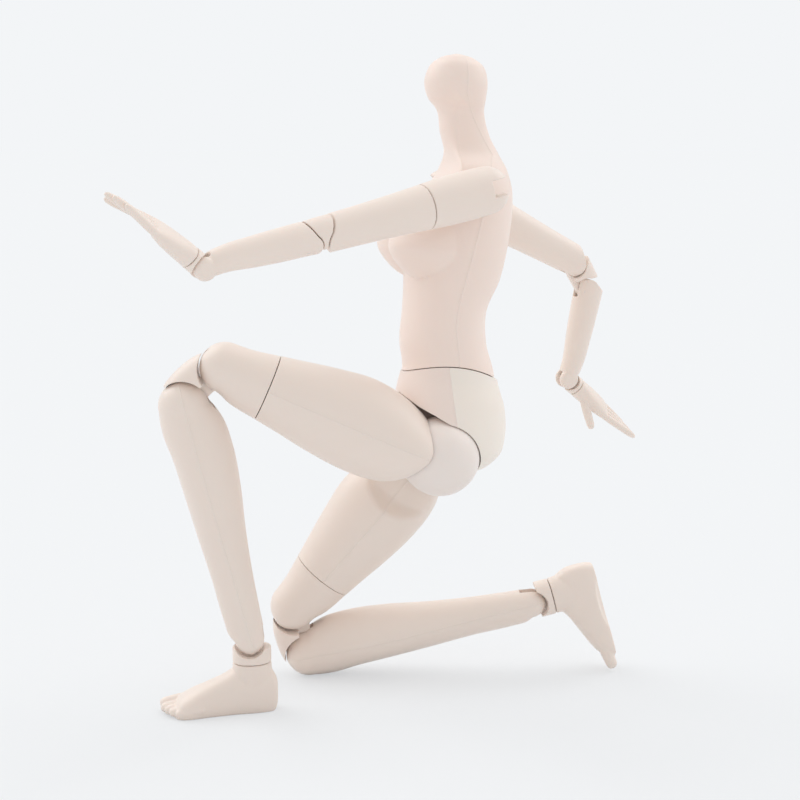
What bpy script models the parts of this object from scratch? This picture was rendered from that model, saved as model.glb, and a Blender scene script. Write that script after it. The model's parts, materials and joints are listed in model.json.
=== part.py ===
"""A ball jointed doll with a plain knob head, sitting on its left foot and its right knee.

Every limb is modelled hanging straight down from its own joint: +Z runs up the limb, -X is the doll's
front and +Y is its right. Empties at the joints then turn the limbs into the sitting pose.
"""

import math

import bmesh
import bpy
from mathutils import Matrix, Vector

# Clearances between pieces that move or meet.
SEAM_GAP = 0.0003
PLATE_GAP = 0.0003
SOCKET_GAP = 0.00035
BORE_GAP = 0.0003
WAIST_GAP = 0.0006

# Pelvis.
HIP_SPREAD = 0.01259
HIP_BALL_RADIUS = 0.0104
PELVIS_HEIGHT = 0.027
PELVIS_FRONT = 0.0132
PELVIS_BACK = 0.0168
PELVIS_SIDE = 0.0190
CROTCH_RADIUS = 0.0112
CROTCH_HALF_WIDTH = 0.0046
LEG_OPENING_REACH_SHARE = 2.1
LEG_OPENING_REACH = LEG_OPENING_REACH_SHARE * PELVIS_SIDE
PELVIS_SEAM_TILT = math.radians(-15.5)
PELVIS_SEAM_BACK = 0.0052

# Waist hinge, peg and the arched cut between pelvis and torso.
WAIST_PIVOT_UP = 0.004
WAIST_ARCH_RADIUS = 0.026
WAIST_ARCH_TOP = 0.0196
WAIST_ARCH_BACK = 0.0012
WAIST_PLATE_HALF = 0.0010
WAIST_PLATE_REACH = 0.0029
WAIST_PLATE_TOP = 0.027
WAIST_PEG_RADIUS = 0.0032
WAIST_PEG_TOP = 0.040
WAIST_PIN_RADIUS = 0.0013
WAIST_PIN_HALF = 0.0024
WAIST_SLOT_REACH = 0.0072

# Torso, neck and head, measured from the waist hinge.
TORSO_HEIGHT = 0.1004
TORSO_FRONT = 0.0118
TORSO_BACK = 0.0165
TORSO_SIDE = 0.0148
BUST_RADIUS = 0.0081
BUST_SPREAD = 0.0072
BUST_FRONT = 0.0096
BUST_UP_SHARE = 0.504
BUST_UP = BUST_UP_SHARE * TORSO_HEIGHT
SHOULDER_BACK = 0.00393
SHOULDER_SPREAD = 0.02044
SHOULDER_UP_SHARE = 0.6489
SHOULDER_UP = SHOULDER_UP_SHARE * TORSO_HEIGHT
ARMHOLE_RADIUS = 0.0070
ARMHOLE_SPREAD = 0.0138

# Shoulder axle, sleeve and their pin.
SLEEVE_RADIUS = 0.0062
SLEEVE_LENGTH = 0.01839
SHOULDER_PLATE_HALF = 0.0015
SHOULDER_PLATE_RADIUS = 0.0022
SHOULDER_DISC_RADIUS = 0.0042
SHOULDER_DISC_THICK = 0.0009
SHOULDER_AXLE_RADIUS = 0.0022
SHOULDER_FLANGE_RADIUS = 0.0034
SHOULDER_FLANGE_THICK = 0.0010
SHOULDER_AXLE_END = 0.0055
SHOULDER_PIN_RADIUS = 0.0010
SHOULDER_PIN_HALF = 0.0050
ARM_PEG_RADIUS = 0.0026
ARM_PEG_LENGTH = 0.0054

# Arm.
UPPER_ARM_LENGTH = 0.0254
UPPER_ARM_DEPTH = 0.0056
ELBOW_FORWARD = 0.0018
ELBOW_RADIUS = 0.0038
ELBOW_LINK = 0.0093
ELBOW_STOP = math.radians(4)
ELBOW_PLATE_HALF = 0.0011
ELBOW_PLATE_RADIUS = 0.0016
ELBOW_PIN_RADIUS = 0.0009
ELBOW_PIN_HALF = 0.0033
ELBOW_CAP_DEPTH = 0.0045
ELBOW_CAP_FRONT = 0.0009
ELBOW_CAP_SIDE = 0.0042
FOREARM_LENGTH = 0.0259
FOREARM_DEPTH = 0.0041
WRIST_RADIUS = 0.0029
WRIST_HALF_WIDTH = 0.0028
WRIST_PLATE_HALF = 0.0008
WRIST_PLATE_RADIUS = 0.0017
WRIST_PIN_RADIUS = 0.0006
WRIST_PIN_HALF = 0.0024
WRIST_COLLAR_RADIUS = 0.0028
WRIST_COLLAR_TOP = 0.0014
WRIST_SWIVEL = 0.0042
WRIST_PEG_RADIUS = 0.0013
WRIST_PEG_LENGTH = 0.0038

# Hand.
HAND_LENGTH = 0.0256
PALM_DEPTH = 0.0024
PALM_SIDE = 0.0043
FINGER_RADIUS = 0.00108
FINGER_PITCH = 0.0021
FINGER_LENGTH = 0.0138
THUMB_RADIUS = 0.0013
THUMB_LENGTH = 0.0082

# Thigh and the hip's tongue and pin.
THIGH_LENGTH = 0.06035
THIGH_CUT_SHARE = 0.8008
THIGH_CUT = THIGH_CUT_SHARE * THIGH_LENGTH
THIGH_FRONT = 0.0122
THIGH_BACK = 0.0129
THIGH_SIDE = 0.0121
THIGH_SEAM_BACK = 0.0007
THIGH_CLEAR_RADIUS = 0.0176
THIGH_CLEAR_SPREAD = 0.0050
HIP_TONGUE_FRONT = 0.0018
HIP_TONGUE_BACK = 0.0004
HIP_TONGUE_HALF = 0.0030
HIP_TONGUE_TOP = 0.0028
HIP_SLOT_HALF = 0.0080
HIP_PIN_RADIUS = 0.0012
HIP_PIN_HALF = 0.0075

# Knee.
KNEE_RADIUS = 0.0066
KNEE_HALF_WIDTH = 0.0070
KNEE_LINK = 0.01448
KNEE_PLATE_HALF = 0.0015
KNEE_PLATE_RADIUS = 0.0024
KNEE_PIN_RADIUS = 0.0013
KNEE_PIN_HALF = 0.0064
KNEE_CAP_FRONT = 0.0081
KNEE_CAP_INNER = 0.0017
KNEE_CAP_SIDE = 0.0063
KNEE_CAP_TOP = 0.0017
KNEE_CAP_BOTTOM = 0.0146
KNEE_PEG_RADIUS = 0.0042
KNEE_PEG_LENGTH = 0.0070
KNEE_PEG_RIM = 0.0054
KNEE_PEG_RIM_THICK = 0.0015

# Shin and ankle.
SHIN_LENGTH = 0.0644
SHIN_FRONT = 0.0073
SHIN_BACK = 0.0094
SHIN_SIDE = 0.0080
SHIN_SEAM_BACK = 0.0006
ANKLE_RADIUS = 0.0040
ANKLE_HALF_WIDTH = 0.0044
ANKLE_PLATE_HALF = 0.0011
ANKLE_PLATE_RADIUS = 0.0025
ANKLE_PIN_RADIUS = 0.0009
ANKLE_PIN_HALF = 0.0039
ANKLE_SWIVEL = 0.00615
ANKLE_COLLAR_FRONT = 0.0046
ANKLE_COLLAR_BACK = 0.0056
ANKLE_COLLAR_SIDE = 0.0046
ANKLE_COLLAR_TOP = 0.0021
ANKLE_PEG_RADIUS = 0.0018
ANKLE_PEG_LENGTH = 0.0050

# Foot.
FOOT_HEIGHT = 0.01967
FOOT_TOE = 0.0240
FOOT_HEEL = 0.00713
FOOT_SIDE = 0.0056

# How square some sections are: 2 is an ellipse, more fills its corners.
PALM_SQUARENESS = 2.4
KNEE_SQUARENESS = 2.6
ANKLE_SQUARENESS = 2.2
FOOT_SQUARENESS = 2.6

# One overrun serves every cut that has to pass clean through.
CUT_OVERRUN = 0.016

# How finely round forms are cut.
BODY_SIDES = 16
LEG_SIDES = 14
ARM_SIDES = 12
KNEE_SIDES = 18
JOINT_SIDES = 14
ARCH_SIDES = 60
BALL_SIDES = 18
PIN_SIDES = 8
FINGER_SIDES = 6

# Section tables. Each row: share of the length down the limb, then shares of the back, front and side.
PELVIS_SHARES = (
    (1.00, 0.74, 0.93, 0.74), (0.78, 0.80, 0.945, 0.76), (0.50, 0.99, 0.99, 0.89),
    (0.24, 1.06, 0.965, 0.985), (0.08, 1.04, 0.89, 1.0), (-0.06, 0.88, 0.76, 0.93),
    (-0.15, 0.52, 0.36, 0.60),
)
TORSO_SHARES = (
    (0.13, 0.90, 0.89, 1.02), (0.18, 0.84, 0.87, 0.96), (0.25, 0.70, 0.97, 0.91),
    (0.335, 0.67, 0.94, 0.92), (0.42, 0.87, 0.94, 0.97), (0.51, 0.975, 1.0, 1.0),
    (0.60, 1.02, 0.86, 0.99), (0.665, 0.99, 0.40, 0.96), (0.71, 0.90, 0.13, 0.80),
    (0.75, 0.76, 0.12, 0.46), (0.80, 0.585, 0.28, 0.37), (0.855, 0.49, 0.38, 0.37),
    (0.885, 0.50, 0.59, 0.50), (0.925, 0.515, 0.69, 0.565), (0.965, 0.46, 0.60, 0.49),
    (1.00, 0.13, 0.09, 0.11),
)
THIGH_SHARES = (
    (0.033, 0.11, 0.12, 1.0), (0.06, 0.41, 0.38, 1.01), (0.112, 0.68, 0.62, 1.02),
    (0.19, 0.90, 0.80, 1.02), (0.27, 0.985, 0.92, 1.0), (0.38, 1.0, 0.99, 0.975),
    (0.55, 0.92, 0.90, 0.89), (0.70, 0.80, 0.765, 0.785), (0.82, 0.715, 0.655, 0.69),
)
KNEE_SLEEVE_SHARES = (
    (0.79, 0.735, 0.68, 0.71), (0.93, 0.625, 0.56, 0.60), (1.0, 0.50, 0.52, 0.50),
)
SHIN_SHARES = (
    (0.0, 0.68, 0.90, 0.82), (0.09, 0.94, 0.98, 0.91), (0.20, 1.0, 0.89, 0.99),
    (0.36, 0.92, 0.84, 0.98), (0.54, 0.73, 0.79, 0.84), (0.72, 0.585, 0.73, 0.67),
    (0.90, 0.49, 0.72, 0.58), (0.965, 0.46, 0.74, 0.55), (1.0, 0.38, 0.62, 0.49),
)
SLEEVE_SHARES = (
    (0.0, 0.97, 0.97, 0.97), (0.45, 1.0, 1.0, 0.99), (1.0, 0.93, 0.93, 0.93),
)
# Arm sections: share of the length down the limb, then shares of the depth for half its depth, half its
# side, and how far back its middle lies.
UPPER_ARM_SHARES = (
    (0.0, 1.02, 1.0, 0.0), (0.37, 0.925, 0.93, 0.0), (0.78, 0.85, 0.84, 0.0), (1.0, 0.825, 0.80, 0.0),
    (1.2, 0.81, 0.77, 0.0),
)
FOREARM_SHARES = (
    (-0.18, 1.02, 1.02, 0.47), (0.0, 1.01, 1.02, 0.46), (0.22, 0.98, 0.98, 0.40), (0.50, 0.90, 0.90, 0.33),
    (0.88, 0.72, 0.73, 0.22), (0.96, 0.67, 0.69, 0.09), (1.0, 0.60, 0.62, 0.0),
)
# Limb end at the elbow seen from the side, in elbow radii from the pivot: towards the back, and outward.
ELBOW_END_SHARES = (
    (-1.0, 0.0), (-0.92, 0.39), (-0.71, 0.705), (-0.38, 0.925), (0.0, 1.0), (0.26, 0.966),
    (0.52, 0.854), (0.76, 0.65), (2.2, -0.26),
)
# Elbow block sections: share of the way down, share of its depth and side.
ELBOW_CAP_SHARES = ((0.0, 1.0), (0.5, 0.985), (1.0, 0.92))
# Kneecap sections: share of the way down, then of its front and side.
KNEE_CAP_SHARES = (
    (0.0, 0.80, 0.86), (0.20, 0.94, 0.97), (0.55, 1.0, 1.0), (0.85, 0.99, 0.97), (1.0, 0.96, 0.88),
)
# Palm sections: share of the hand's length down, then of its depth and side.
PALM_SHARES = ((0.0, 1.12, 0.66), (0.15, 1.08, 0.86), (0.38, 0.84, 1.0), (0.49, 0.5, 0.92))
# Foot sections from heel to toe: share of the way, then of the height at the top and at the sole,
# and of the side.
FOOT_SHARES = (
    (0.0, 0.60, 0.26, 0.34), (0.03, 0.76, 0.09, 0.50), (0.06, 0.86, 0.0, 0.58),
    (0.16, 0.92, 0.0, 0.66), (0.345, 0.92, 0.0, 0.68), (0.44, 0.77, 0.0, 0.73),
    (0.60, 0.605, 0.0, 0.89), (0.78, 0.45, 0.0, 1.0), (0.93, 0.36, 0.0, 0.88),
    (1.0, 0.28, 0.10, 0.60),
)
FOOT_UNDERCUT_SHARE = 0.14
# How far the ankle's own section runs down into the foot, and its size there.
FOOT_NECK_SHARE = 0.5
FOOT_NECK_TAPER_SHARE = 0.78
# Round end profile: share of the half width, share of the radius.
BARREL_SHARES = ((0.0, 1.0), (0.64, 0.97), (0.90, 0.80), (1.0, 0.52))
# Leg opening seen from the side, in hip ball radii from the ball's centre: towards the back, and up.
OPENING_SHARES = (
    (-1.65, 2.20), (-0.72, 1.46), (0.12, 0.87), (0.64, 0.38), (0.92, -0.30), (2.30, -0.30),
    (2.30, -3.0), (-3.6, -3.0), (-3.6, 2.20),
)
# Torso parting line seen from the side: share of the shoulder's height up, share of the torso's back.
PARTING_SHARES = (
    (0.0, 0.085), (0.32, 0.085), (0.46, 0.0), (0.60, 0.02), (0.88, 0.238), (1.05, 0.238),
    (1.15, 0.47), (1.28, 0.28), (1.38, 0.08), (1.80, 0.08),
)
# Each finger from the index side: share of the full length, fan angle, curl angle.
FINGER_SHARES = (
    (0.89, math.radians(1.5), math.radians(7)), (1.0, math.radians(0.5), math.radians(2)),
    (0.93, math.radians(-0.5), math.radians(-1)), (0.76, math.radians(-2), math.radians(-4)),
)
# Finger sections: share of its length below the knuckle, share of its radius.
FINGER_SECTION_SHARES = ((-0.08, 0.9), (0.35, 1.0), (0.86, 0.84), (1.0, 0.4))
THUMB_SPLAY = {"left": math.radians(20), "right": math.radians(45)}
FINGER_BEND = {"left": math.radians(9), "right": 0}
THUMB_START_SHARE = 0.17
THUMB_SIDE_SHARE = 0.70

# The sitting pose, as turns at each joint.
PELVIS_TURN = (math.radians(-2.29), math.radians(8.81), math.radians(3.49))
WAIST_BEND = math.radians(-6.07)
WAIST_TWIST = math.radians(8.79)
LEG_POSE = {
    "left": {
        "hip": math.radians(104.58), "spread": math.radians(1.475), "thigh_twist": math.radians(1.79),
        "knee_upper": math.radians(65.97), "knee_lower": math.radians(61.73), "ankle": math.radians(14.22),
        "foot_turn": math.radians(6.0),
    },
    "right": {
        "hip": math.radians(30.905), "spread": math.radians(2.73), "thigh_twist": math.radians(3.81),
        "knee_upper": math.radians(56.77), "knee_lower": math.radians(84.197), "ankle": math.radians(-3.408),
        "foot_turn": math.radians(5.5),
    },
}
ARM_POSE = {
    "left": {
        "swing": math.radians(73.9), "raise": math.radians(17.07), "arm_twist": math.radians(195.76),
        "elbow_upper": math.radians(-0.91), "elbow_lower": math.radians(-2.62), "wrist": math.radians(-46.7),
        "hand_turn": math.radians(20),
    },
    "right": {
        "swing": math.radians(-66.4), "raise": math.radians(7.99), "arm_twist": math.radians(-0.55),
        "elbow_upper": math.radians(31.66), "elbow_lower": math.radians(40.39), "wrist": math.radians(-59.01),
        "hand_turn": math.radians(150),
    },
}

# Plastics: colour, roughness.
MATERIALS = {
    "body_vinyl": ((0.86, 0.70, 0.64), 0.55),
    "pelvis_front_plastic": ((0.82, 0.68, 0.60), 0.5),
    "pelvis_back_plastic": ((0.84, 0.74, 0.62), 0.5),
    "limb_plastic": ((0.78, 0.66, 0.58), 0.5),
    "joint_plastic": ((0.72, 0.61, 0.54), 0.45),
    "pin_plastic": ((0.62, 0.55, 0.50), 0.4),
}


def clear_scene():
    for old in list(bpy.data.objects):
        bpy.data.objects.remove(old, do_unlink=True)


def plastic(name):
    material = bpy.data.materials.get(name)
    if material is None:
        colour, roughness = MATERIALS[name]
        material = bpy.data.materials.new(name)
        material.use_nodes = True
        shader = material.node_tree.nodes["Principled BSDF"]
        shader.inputs["Base Color"].default_value = (*colour, 1)
        shader.inputs["Roughness"].default_value = roughness
        shader.inputs["Metallic"].default_value = 0
    return material


def mesh_object(name, points, faces):
    mesh = bpy.data.meshes.new(name)
    mesh.from_pydata(points, [], faces)
    shape = bmesh.new()
    shape.from_mesh(mesh)
    bmesh.ops.recalc_face_normals(shape, faces=shape.faces)
    shape.to_mesh(mesh)
    shape.free()
    body = bpy.data.objects.new(name, mesh)
    bpy.context.scene.collection.objects.link(body)
    return body


def skin(name, rings):
    """Close a stack of rings that all have the same number of points."""
    count = len(rings[0])
    points = [point for ring in rings for point in ring]
    faces = [tuple(range(count)), tuple(range(len(points) - count, len(points)))]
    for level in range(len(rings) - 1):
        low = level * count
        for step in range(count):
            after = (step + 1) % count
            faces.append((low + step, low + after, low + count + after, low + count + step))
    return mesh_object(name, points, faces)


def oval_ring(height, back, front, side, sides, square=2.0):
    """One level section whose front and back depths differ."""
    ring = []
    for step in range(sides):
        turn = math.tau * (step + 0.5) / sides
        across = math.copysign(abs(math.sin(turn)) ** (2 / square), math.sin(turn)) * side
        along = math.copysign(abs(math.cos(turn)) ** (2 / square), math.cos(turn))
        along *= back if along > 0 else front
        ring.append((along, across, height))
    return ring


def limb_body(name, shares, length, depths, sides, start=0.0, up=-1):
    """A limb from its section table. The depths are back, front and side."""
    back, front, side = depths
    rings = []
    for down, back_share, front_share, side_share in shares:
        height = up * down * length + start
        rings.append(oval_ring(height, back_share * back, front_share * front, side_share * side, sides))
    return skin(name, rings)


def arm_body(name, shares, length, depth, start=0.0):
    """An arm's tube, whose middle may lie behind its pivots."""
    rings = []
    for down, depth_share, side_share, back_share in shares:
        half = depth_share * depth
        ring = oval_ring(start - down * length, half, half, side_share * depth, ARM_SIDES)
        rings.append([(along + back_share * depth, across, height) for along, across, height in ring])
    return skin(name, rings)


def turned(name, profile, sides, place=Matrix(), axis="Z"):
    """A solid turned about an axis from rows of distance along it and radius."""
    rings = []
    for along, radius in profile:
        ring = []
        for step in range(sides):
            turn = math.tau * (step + 0.5) / sides
            ring.append((radius * math.cos(turn), radius * math.sin(turn), along))
        rings.append(ring)
    body = skin(name, rings)
    swing = {"X": Matrix.Rotation(math.pi / 2, 4, "Y"), "Y": Matrix.Rotation(-math.pi / 2, 4, "X")}
    body.data.transform(place @ swing.get(axis, Matrix()))
    return body


def rod(name, radius, start, end, place=Matrix(), axis="Z", sides=PIN_SIDES):
    return turned(name, ((start, radius), (end, radius)), sides, place, axis)


def barrel(name, radius, half_width, place=Matrix(), grow=0.0, sides=JOINT_SIDES):
    """A rounded end turned about the hinge line, which runs across the limb."""
    rows = [(share * (half_width + grow), size * radius + grow) for share, size in BARREL_SHARES]
    rows = [(-along, size) for along, size in rows[:0:-1]] + rows
    return turned(name, rows, sides, place, "Y")


def ball(name, radius, place=Matrix(), sides=BALL_SIDES):
    rows = []
    levels = sides // 2
    for level in range(levels):
        turn = math.pi * (level + 0.5) / levels
        rows.append((-radius * math.cos(turn), radius * math.sin(turn)))
    return turned(name, rows, sides, place)


def block(name, low, high, place=Matrix()):
    corners = ((low[0], low[1]), (high[0], low[1]), (high[0], high[1]), (low[0], high[1]))
    rings = [[(*corner, height) for corner in corners] for height in (low[2], high[2])]
    body = skin(name, rings)
    body.data.transform(place)
    return body


def prism(name, outline, low, high):
    """A side view outline of back and up, carried across from low to high."""
    rings = [[(back, across, up) for back, up in outline] for across in (low, high)]
    return skin(name, rings)


def plate(name, radius, half, reach):
    """A link plate with round ends at its own joint and at the joint below."""
    outline = []
    for centre, begin in ((0, 0), (-reach, math.pi)):
        for step in range(JOINT_SIDES // 2 + 1):
            turn = begin + math.pi * step / (JOINT_SIDES // 2)
            outline.append((radius * math.cos(turn), centre + radius * math.sin(turn)))
    return prism(name, outline, -half, half)


def combine(body, tool, how="DIFFERENCE", solver="EXACT"):
    """Cut, join or trim a body with a tool, which is used up."""
    tool.hide_render = True
    tool.display_type = "WIRE"
    change = body.modifiers.new(how, "BOOLEAN")
    change.operation = how
    change.solver = solver
    change.object = tool
    bpy.context.view_layer.update()
    before = body.data
    after = bpy.data.meshes.new_from_object(body.evaluated_get(bpy.context.evaluated_depsgraph_get()))
    body.modifiers.clear()
    body.data = after
    bpy.data.meshes.remove(before)
    bpy.data.objects.remove(tool, do_unlink=True)
    return body


def join(body, *tools):
    for tool in tools:
        combine(body, tool, "UNION")
    return body


def cut(body, *tools):
    for tool in tools:
        combine(body, tool)
    return body


def copy_of(body, name):
    twin = body.copy()
    twin.data = body.data.copy()
    twin.name = name
    bpy.context.scene.collection.objects.link(twin)
    return twin


def joint_empty(name, parent, place=(0, 0, 0), turn=0.0, axis="Z"):
    """An empty on a joint, turned about one of its own axes."""
    hub = bpy.data.objects.new(name, None)
    hub.empty_display_size = SLEEVE_RADIUS
    bpy.context.scene.collection.objects.link(hub)
    hub.parent = parent
    hub.location = place
    hub.rotation_euler["XYZ".index(axis)] = turn
    return hub


def finish(body, name, hub, material):
    body.name = name
    body.data.name = name
    body.data.materials.clear()
    body.data.materials.append(plastic(material))
    for face in body.data.polygons:
        face.material_index = 0
    body.data.shade_smooth()
    body.data.set_sharp_from_angle(angle=math.radians(35))
    body.parent = hub
    return body


def shift(back=0.0, across=0.0, up=0.0):
    return Matrix.Translation(Vector((back, across, up)))


def fork(body, place, half, radius, upward, front=CUT_OVERRUN, back=CUT_OVERRUN):
    """Open a slot for a link plate through a round end, up to a wall in front of or behind the plate."""
    reach = radius + PLATE_GAP
    low = (-front, -half - PLATE_GAP, -reach if upward else -CUT_OVERRUN)
    high = (back, half + PLATE_GAP, CUT_OVERRUN if upward else reach)
    return cut(body, block("slot", low, high, place))


def halves(body, outline_front, outline_back, low, high):
    """Split a body into its front and back mouldings along a parting line.

    The line runs close beside rows of points on the surface, where EXACT leaves open edges.
    """
    back_half = copy_of(body, "back_half")
    combine(body, prism("front_tool", outline_front, low, high), "INTERSECT", "MANIFOLD")
    combine(back_half, prism("back_tool", outline_back, low, high), "INTERSECT", "MANIFOLD")
    return body, back_half


def straight_parting(back, low, high, reach):
    half = SEAM_GAP / 2
    front = ((-reach, low), (back - half, low), (back - half, high), (-reach, high))
    rear = ((back + half, low), (reach, low), (reach, high), (back + half, high))
    return front, rear


def waist_arch(name, radius, place):
    """The rounded body below the arched waist cut."""
    centre = shift(WAIST_ARCH_BACK, 0, WAIST_ARCH_TOP - WAIST_ARCH_RADIUS)
    reach = 2 * PELVIS_SIDE
    return rod(name, radius, -reach, reach, place @ centre, "Y", ARCH_SIDES)


def make_pelvis(hub):
    depths = (PELVIS_BACK, PELVIS_FRONT, PELVIS_SIDE)
    body = limb_body("pelvis", PELVIS_SHARES, PELVIS_HEIGHT, depths, BODY_SIDES, 0.0, 1)
    join(body, barrel("crotch", CROTCH_RADIUS, CROTCH_HALF_WIDTH, Matrix(), 0.0, KNEE_SIDES))
    waist = shift(0, 0, WAIST_PIVOT_UP) @ Matrix.Rotation(WAIST_BEND, 4, "Y")
    combine(body, waist_arch("top", WAIST_ARCH_RADIUS - WAIST_GAP / 2, waist), "INTERSECT")
    outline = [(back * HIP_BALL_RADIUS, up * HIP_BALL_RADIUS) for back, up in OPENING_SHARES]
    for side in (-1, 1):
        socket = shift(0, side * HIP_SPREAD, 0)
        cut(body, ball("socket", HIP_BALL_RADIUS + SOCKET_GAP, socket))
        edges = sorted((side * CROTCH_HALF_WIDTH, side * LEG_OPENING_REACH))
        cut(body, prism("opening", outline, *edges))
    slot_low = WAIST_PIVOT_UP - WAIST_PLATE_REACH - PLATE_GAP
    half = WAIST_PLATE_HALF + PLATE_GAP
    cut(body, block("slot", (-WAIST_SLOT_REACH, -half, slot_low), (WAIST_SLOT_REACH, half, PELVIS_HEIGHT)))
    pivot = shift(0, 0, WAIST_PIVOT_UP)
    cut(body, rod("bore", WAIST_PIN_RADIUS + BORE_GAP, -HIP_SPREAD, HIP_SPREAD, pivot, "Y"))
    tilt = math.tan(PELVIS_SEAM_TILT)
    low, high = -PELVIS_HEIGHT, 2 * PELVIS_HEIGHT
    gap, reach = SEAM_GAP / 2, 3 * PELVIS_BACK
    foot, head = PELVIS_SEAM_BACK + tilt * low, PELVIS_SEAM_BACK + tilt * high
    front = ((-reach, low), (foot - gap, low), (head - gap, high), (-reach, high))
    rear = ((foot + gap, low), (reach, low), (reach, high), (head + gap, high))
    front_half, back_half = halves(body, front, rear, -LEG_OPENING_REACH, LEG_OPENING_REACH)
    finish(front_half, "pelvis_front", hub, "pelvis_front_plastic")
    finish(back_half, "pelvis_back", hub, "pelvis_back_plastic")


def make_waist_joint(hub):
    link = plate("link", WAIST_PLATE_REACH, WAIST_PLATE_HALF, WAIST_PLATE_TOP)
    link.data.transform(shift(0, 0, WAIST_PLATE_TOP))
    peg_start = WAIST_PLATE_TOP - WAIST_PLATE_REACH / 2
    join(link, rod("peg", WAIST_PEG_RADIUS, peg_start, WAIST_PEG_TOP, Matrix(), "Z", ARM_SIDES))
    cut(link, rod("bore", WAIST_PIN_RADIUS + BORE_GAP, -WAIST_PIN_HALF, WAIST_PIN_HALF, Matrix(), "Y"))
    finish(link, "waist_joint", hub, "joint_plastic")
    pin = rod("waist_pin", WAIST_PIN_RADIUS, -WAIST_PIN_HALF, WAIST_PIN_HALF, Matrix(), "Y")
    finish(pin, "waist_pin", hub, "pin_plastic")


def make_torso(hub):
    depths = (TORSO_BACK, TORSO_FRONT, TORSO_SIDE)
    body = limb_body("torso", TORSO_SHARES, TORSO_HEIGHT, depths, BODY_SIDES, 0.0, 1)
    for side in (-1, 1):
        join(body, ball("bust", BUST_RADIUS, shift(-BUST_FRONT, side * BUST_SPREAD, BUST_UP), JOINT_SIDES))
    untwist = Matrix.Rotation(-WAIST_TWIST, 4, "Z")
    cut(body, waist_arch("arch", WAIST_ARCH_RADIUS + WAIST_GAP / 2, untwist))
    peg_room = WAIST_PEG_TOP + BORE_GAP
    cut(body, rod("peg_bore", WAIST_PEG_RADIUS + BORE_GAP, 0, peg_room, Matrix(), "Z", ARM_SIDES))
    for side in (-1, 1):
        centre = shift(SHOULDER_BACK, 0, SHOULDER_UP)
        reach = 2 * SHOULDER_SPREAD
        flange = SHOULDER_AXLE_END + SHOULDER_FLANGE_THICK + BORE_GAP
        disc = ARMHOLE_SPREAD - SHOULDER_DISC_THICK - BORE_GAP
        for radius, begin, end in (
            (ARMHOLE_RADIUS, ARMHOLE_SPREAD, reach),
            (SHOULDER_DISC_RADIUS + BORE_GAP, disc, reach),
            (SHOULDER_AXLE_RADIUS + BORE_GAP, SHOULDER_AXLE_END, reach),
            (SHOULDER_FLANGE_RADIUS + BORE_GAP, SHOULDER_AXLE_END - BORE_GAP, flange),
        ):
            edges = sorted((side * begin, side * end))
            cut(body, rod("shoulder_bore", radius, *edges, centre, "Y", JOINT_SIDES))
    line = [(back * TORSO_BACK, up * SHOULDER_UP) for up, back in PARTING_SHARES]
    gap, reach = SEAM_GAP / 2, 3 * TORSO_BACK
    top, bottom = line[-1][1], line[0][1]
    front = [(back - gap, up) for back, up in line] + [(-reach, top), (-reach, bottom)]
    rear = [(back + gap, up) for back, up in line] + [(reach, top), (reach, bottom)]
    front_half, back_half = halves(body, front, rear, -2 * TORSO_SIDE, 2 * TORSO_SIDE)
    finish(front_half, "torso_front", hub, "body_vinyl")
    finish(back_half, "torso_back", hub, "body_vinyl")


def make_shoulder(side, label, swing_hub, raise_hub):
    disc_inner = ARMHOLE_SPREAD - SHOULDER_DISC_THICK
    flange = SHOULDER_AXLE_END + SHOULDER_FLANGE_THICK
    rows = (
        (SHOULDER_AXLE_END, SHOULDER_FLANGE_RADIUS), (flange, SHOULDER_FLANGE_RADIUS),
        (flange, SHOULDER_AXLE_RADIUS), (disc_inner, SHOULDER_AXLE_RADIUS),
        (disc_inner, SHOULDER_DISC_RADIUS), (ARMHOLE_SPREAD, SHOULDER_DISC_RADIUS),
    )
    rows = [(side * (along - SHOULDER_SPREAD), radius) for along, radius in rows]
    axle = turned("shoulder_joint", rows, JOINT_SIDES, Matrix(), "Y")
    half, high = SHOULDER_PLATE_HALF, SHOULDER_PLATE_RADIUS
    edges = sorted((side * (disc_inner - SHOULDER_SPREAD), 0))
    tongue = block("tongue", (-half, edges[0], -high), (half, edges[1], high))
    join(axle, tongue, rod("eye", high, -half, half, Matrix(), "X", ARM_SIDES))
    bore = SHOULDER_PIN_RADIUS + BORE_GAP
    cut(axle, rod("bore", bore, -SHOULDER_PIN_HALF, SHOULDER_PIN_HALF, Matrix(), "X"))
    finish(axle, f"{label}_shoulder_joint", swing_hub, "joint_plastic")

    depths = (SLEEVE_RADIUS, SLEEVE_RADIUS, SLEEVE_RADIUS)
    end = -SLEEVE_LENGTH + SEAM_GAP / 2
    sleeve = limb_body("sleeve", SLEEVE_SHARES, -end, depths, LEG_SIDES)
    join(sleeve, ball("dome", SLEEVE_RADIUS, Matrix(), LEG_SIDES))
    room = high + PLATE_GAP
    edges = sorted((-side * 2 * SLEEVE_RADIUS, side * room))
    wide = half + PLATE_GAP
    cut(sleeve, block("slot", (-wide, edges[0], -room), (wide, edges[1], 2 * SLEEVE_RADIUS)))
    cut(sleeve, rod("bore", bore, -2 * SLEEVE_RADIUS, 2 * SLEEVE_RADIUS, Matrix(), "X"))
    peg_top = ARM_PEG_LENGTH + BORE_GAP - SLEEVE_LENGTH
    peg_bore = ARM_PEG_RADIUS + BORE_GAP
    cut(sleeve, rod("peg_bore", peg_bore, 2 * end, peg_top, Matrix(), "Z", ARM_SIDES))
    finish(sleeve, f"{label}_shoulder_sleeve", raise_hub, "limb_plastic")
    pin = rod("pin", SHOULDER_PIN_RADIUS, -SHOULDER_PIN_HALF, SHOULDER_PIN_HALF, Matrix(), "X")
    finish(pin, f"{label}_shoulder_pin", raise_hub, "pin_plastic")


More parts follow.
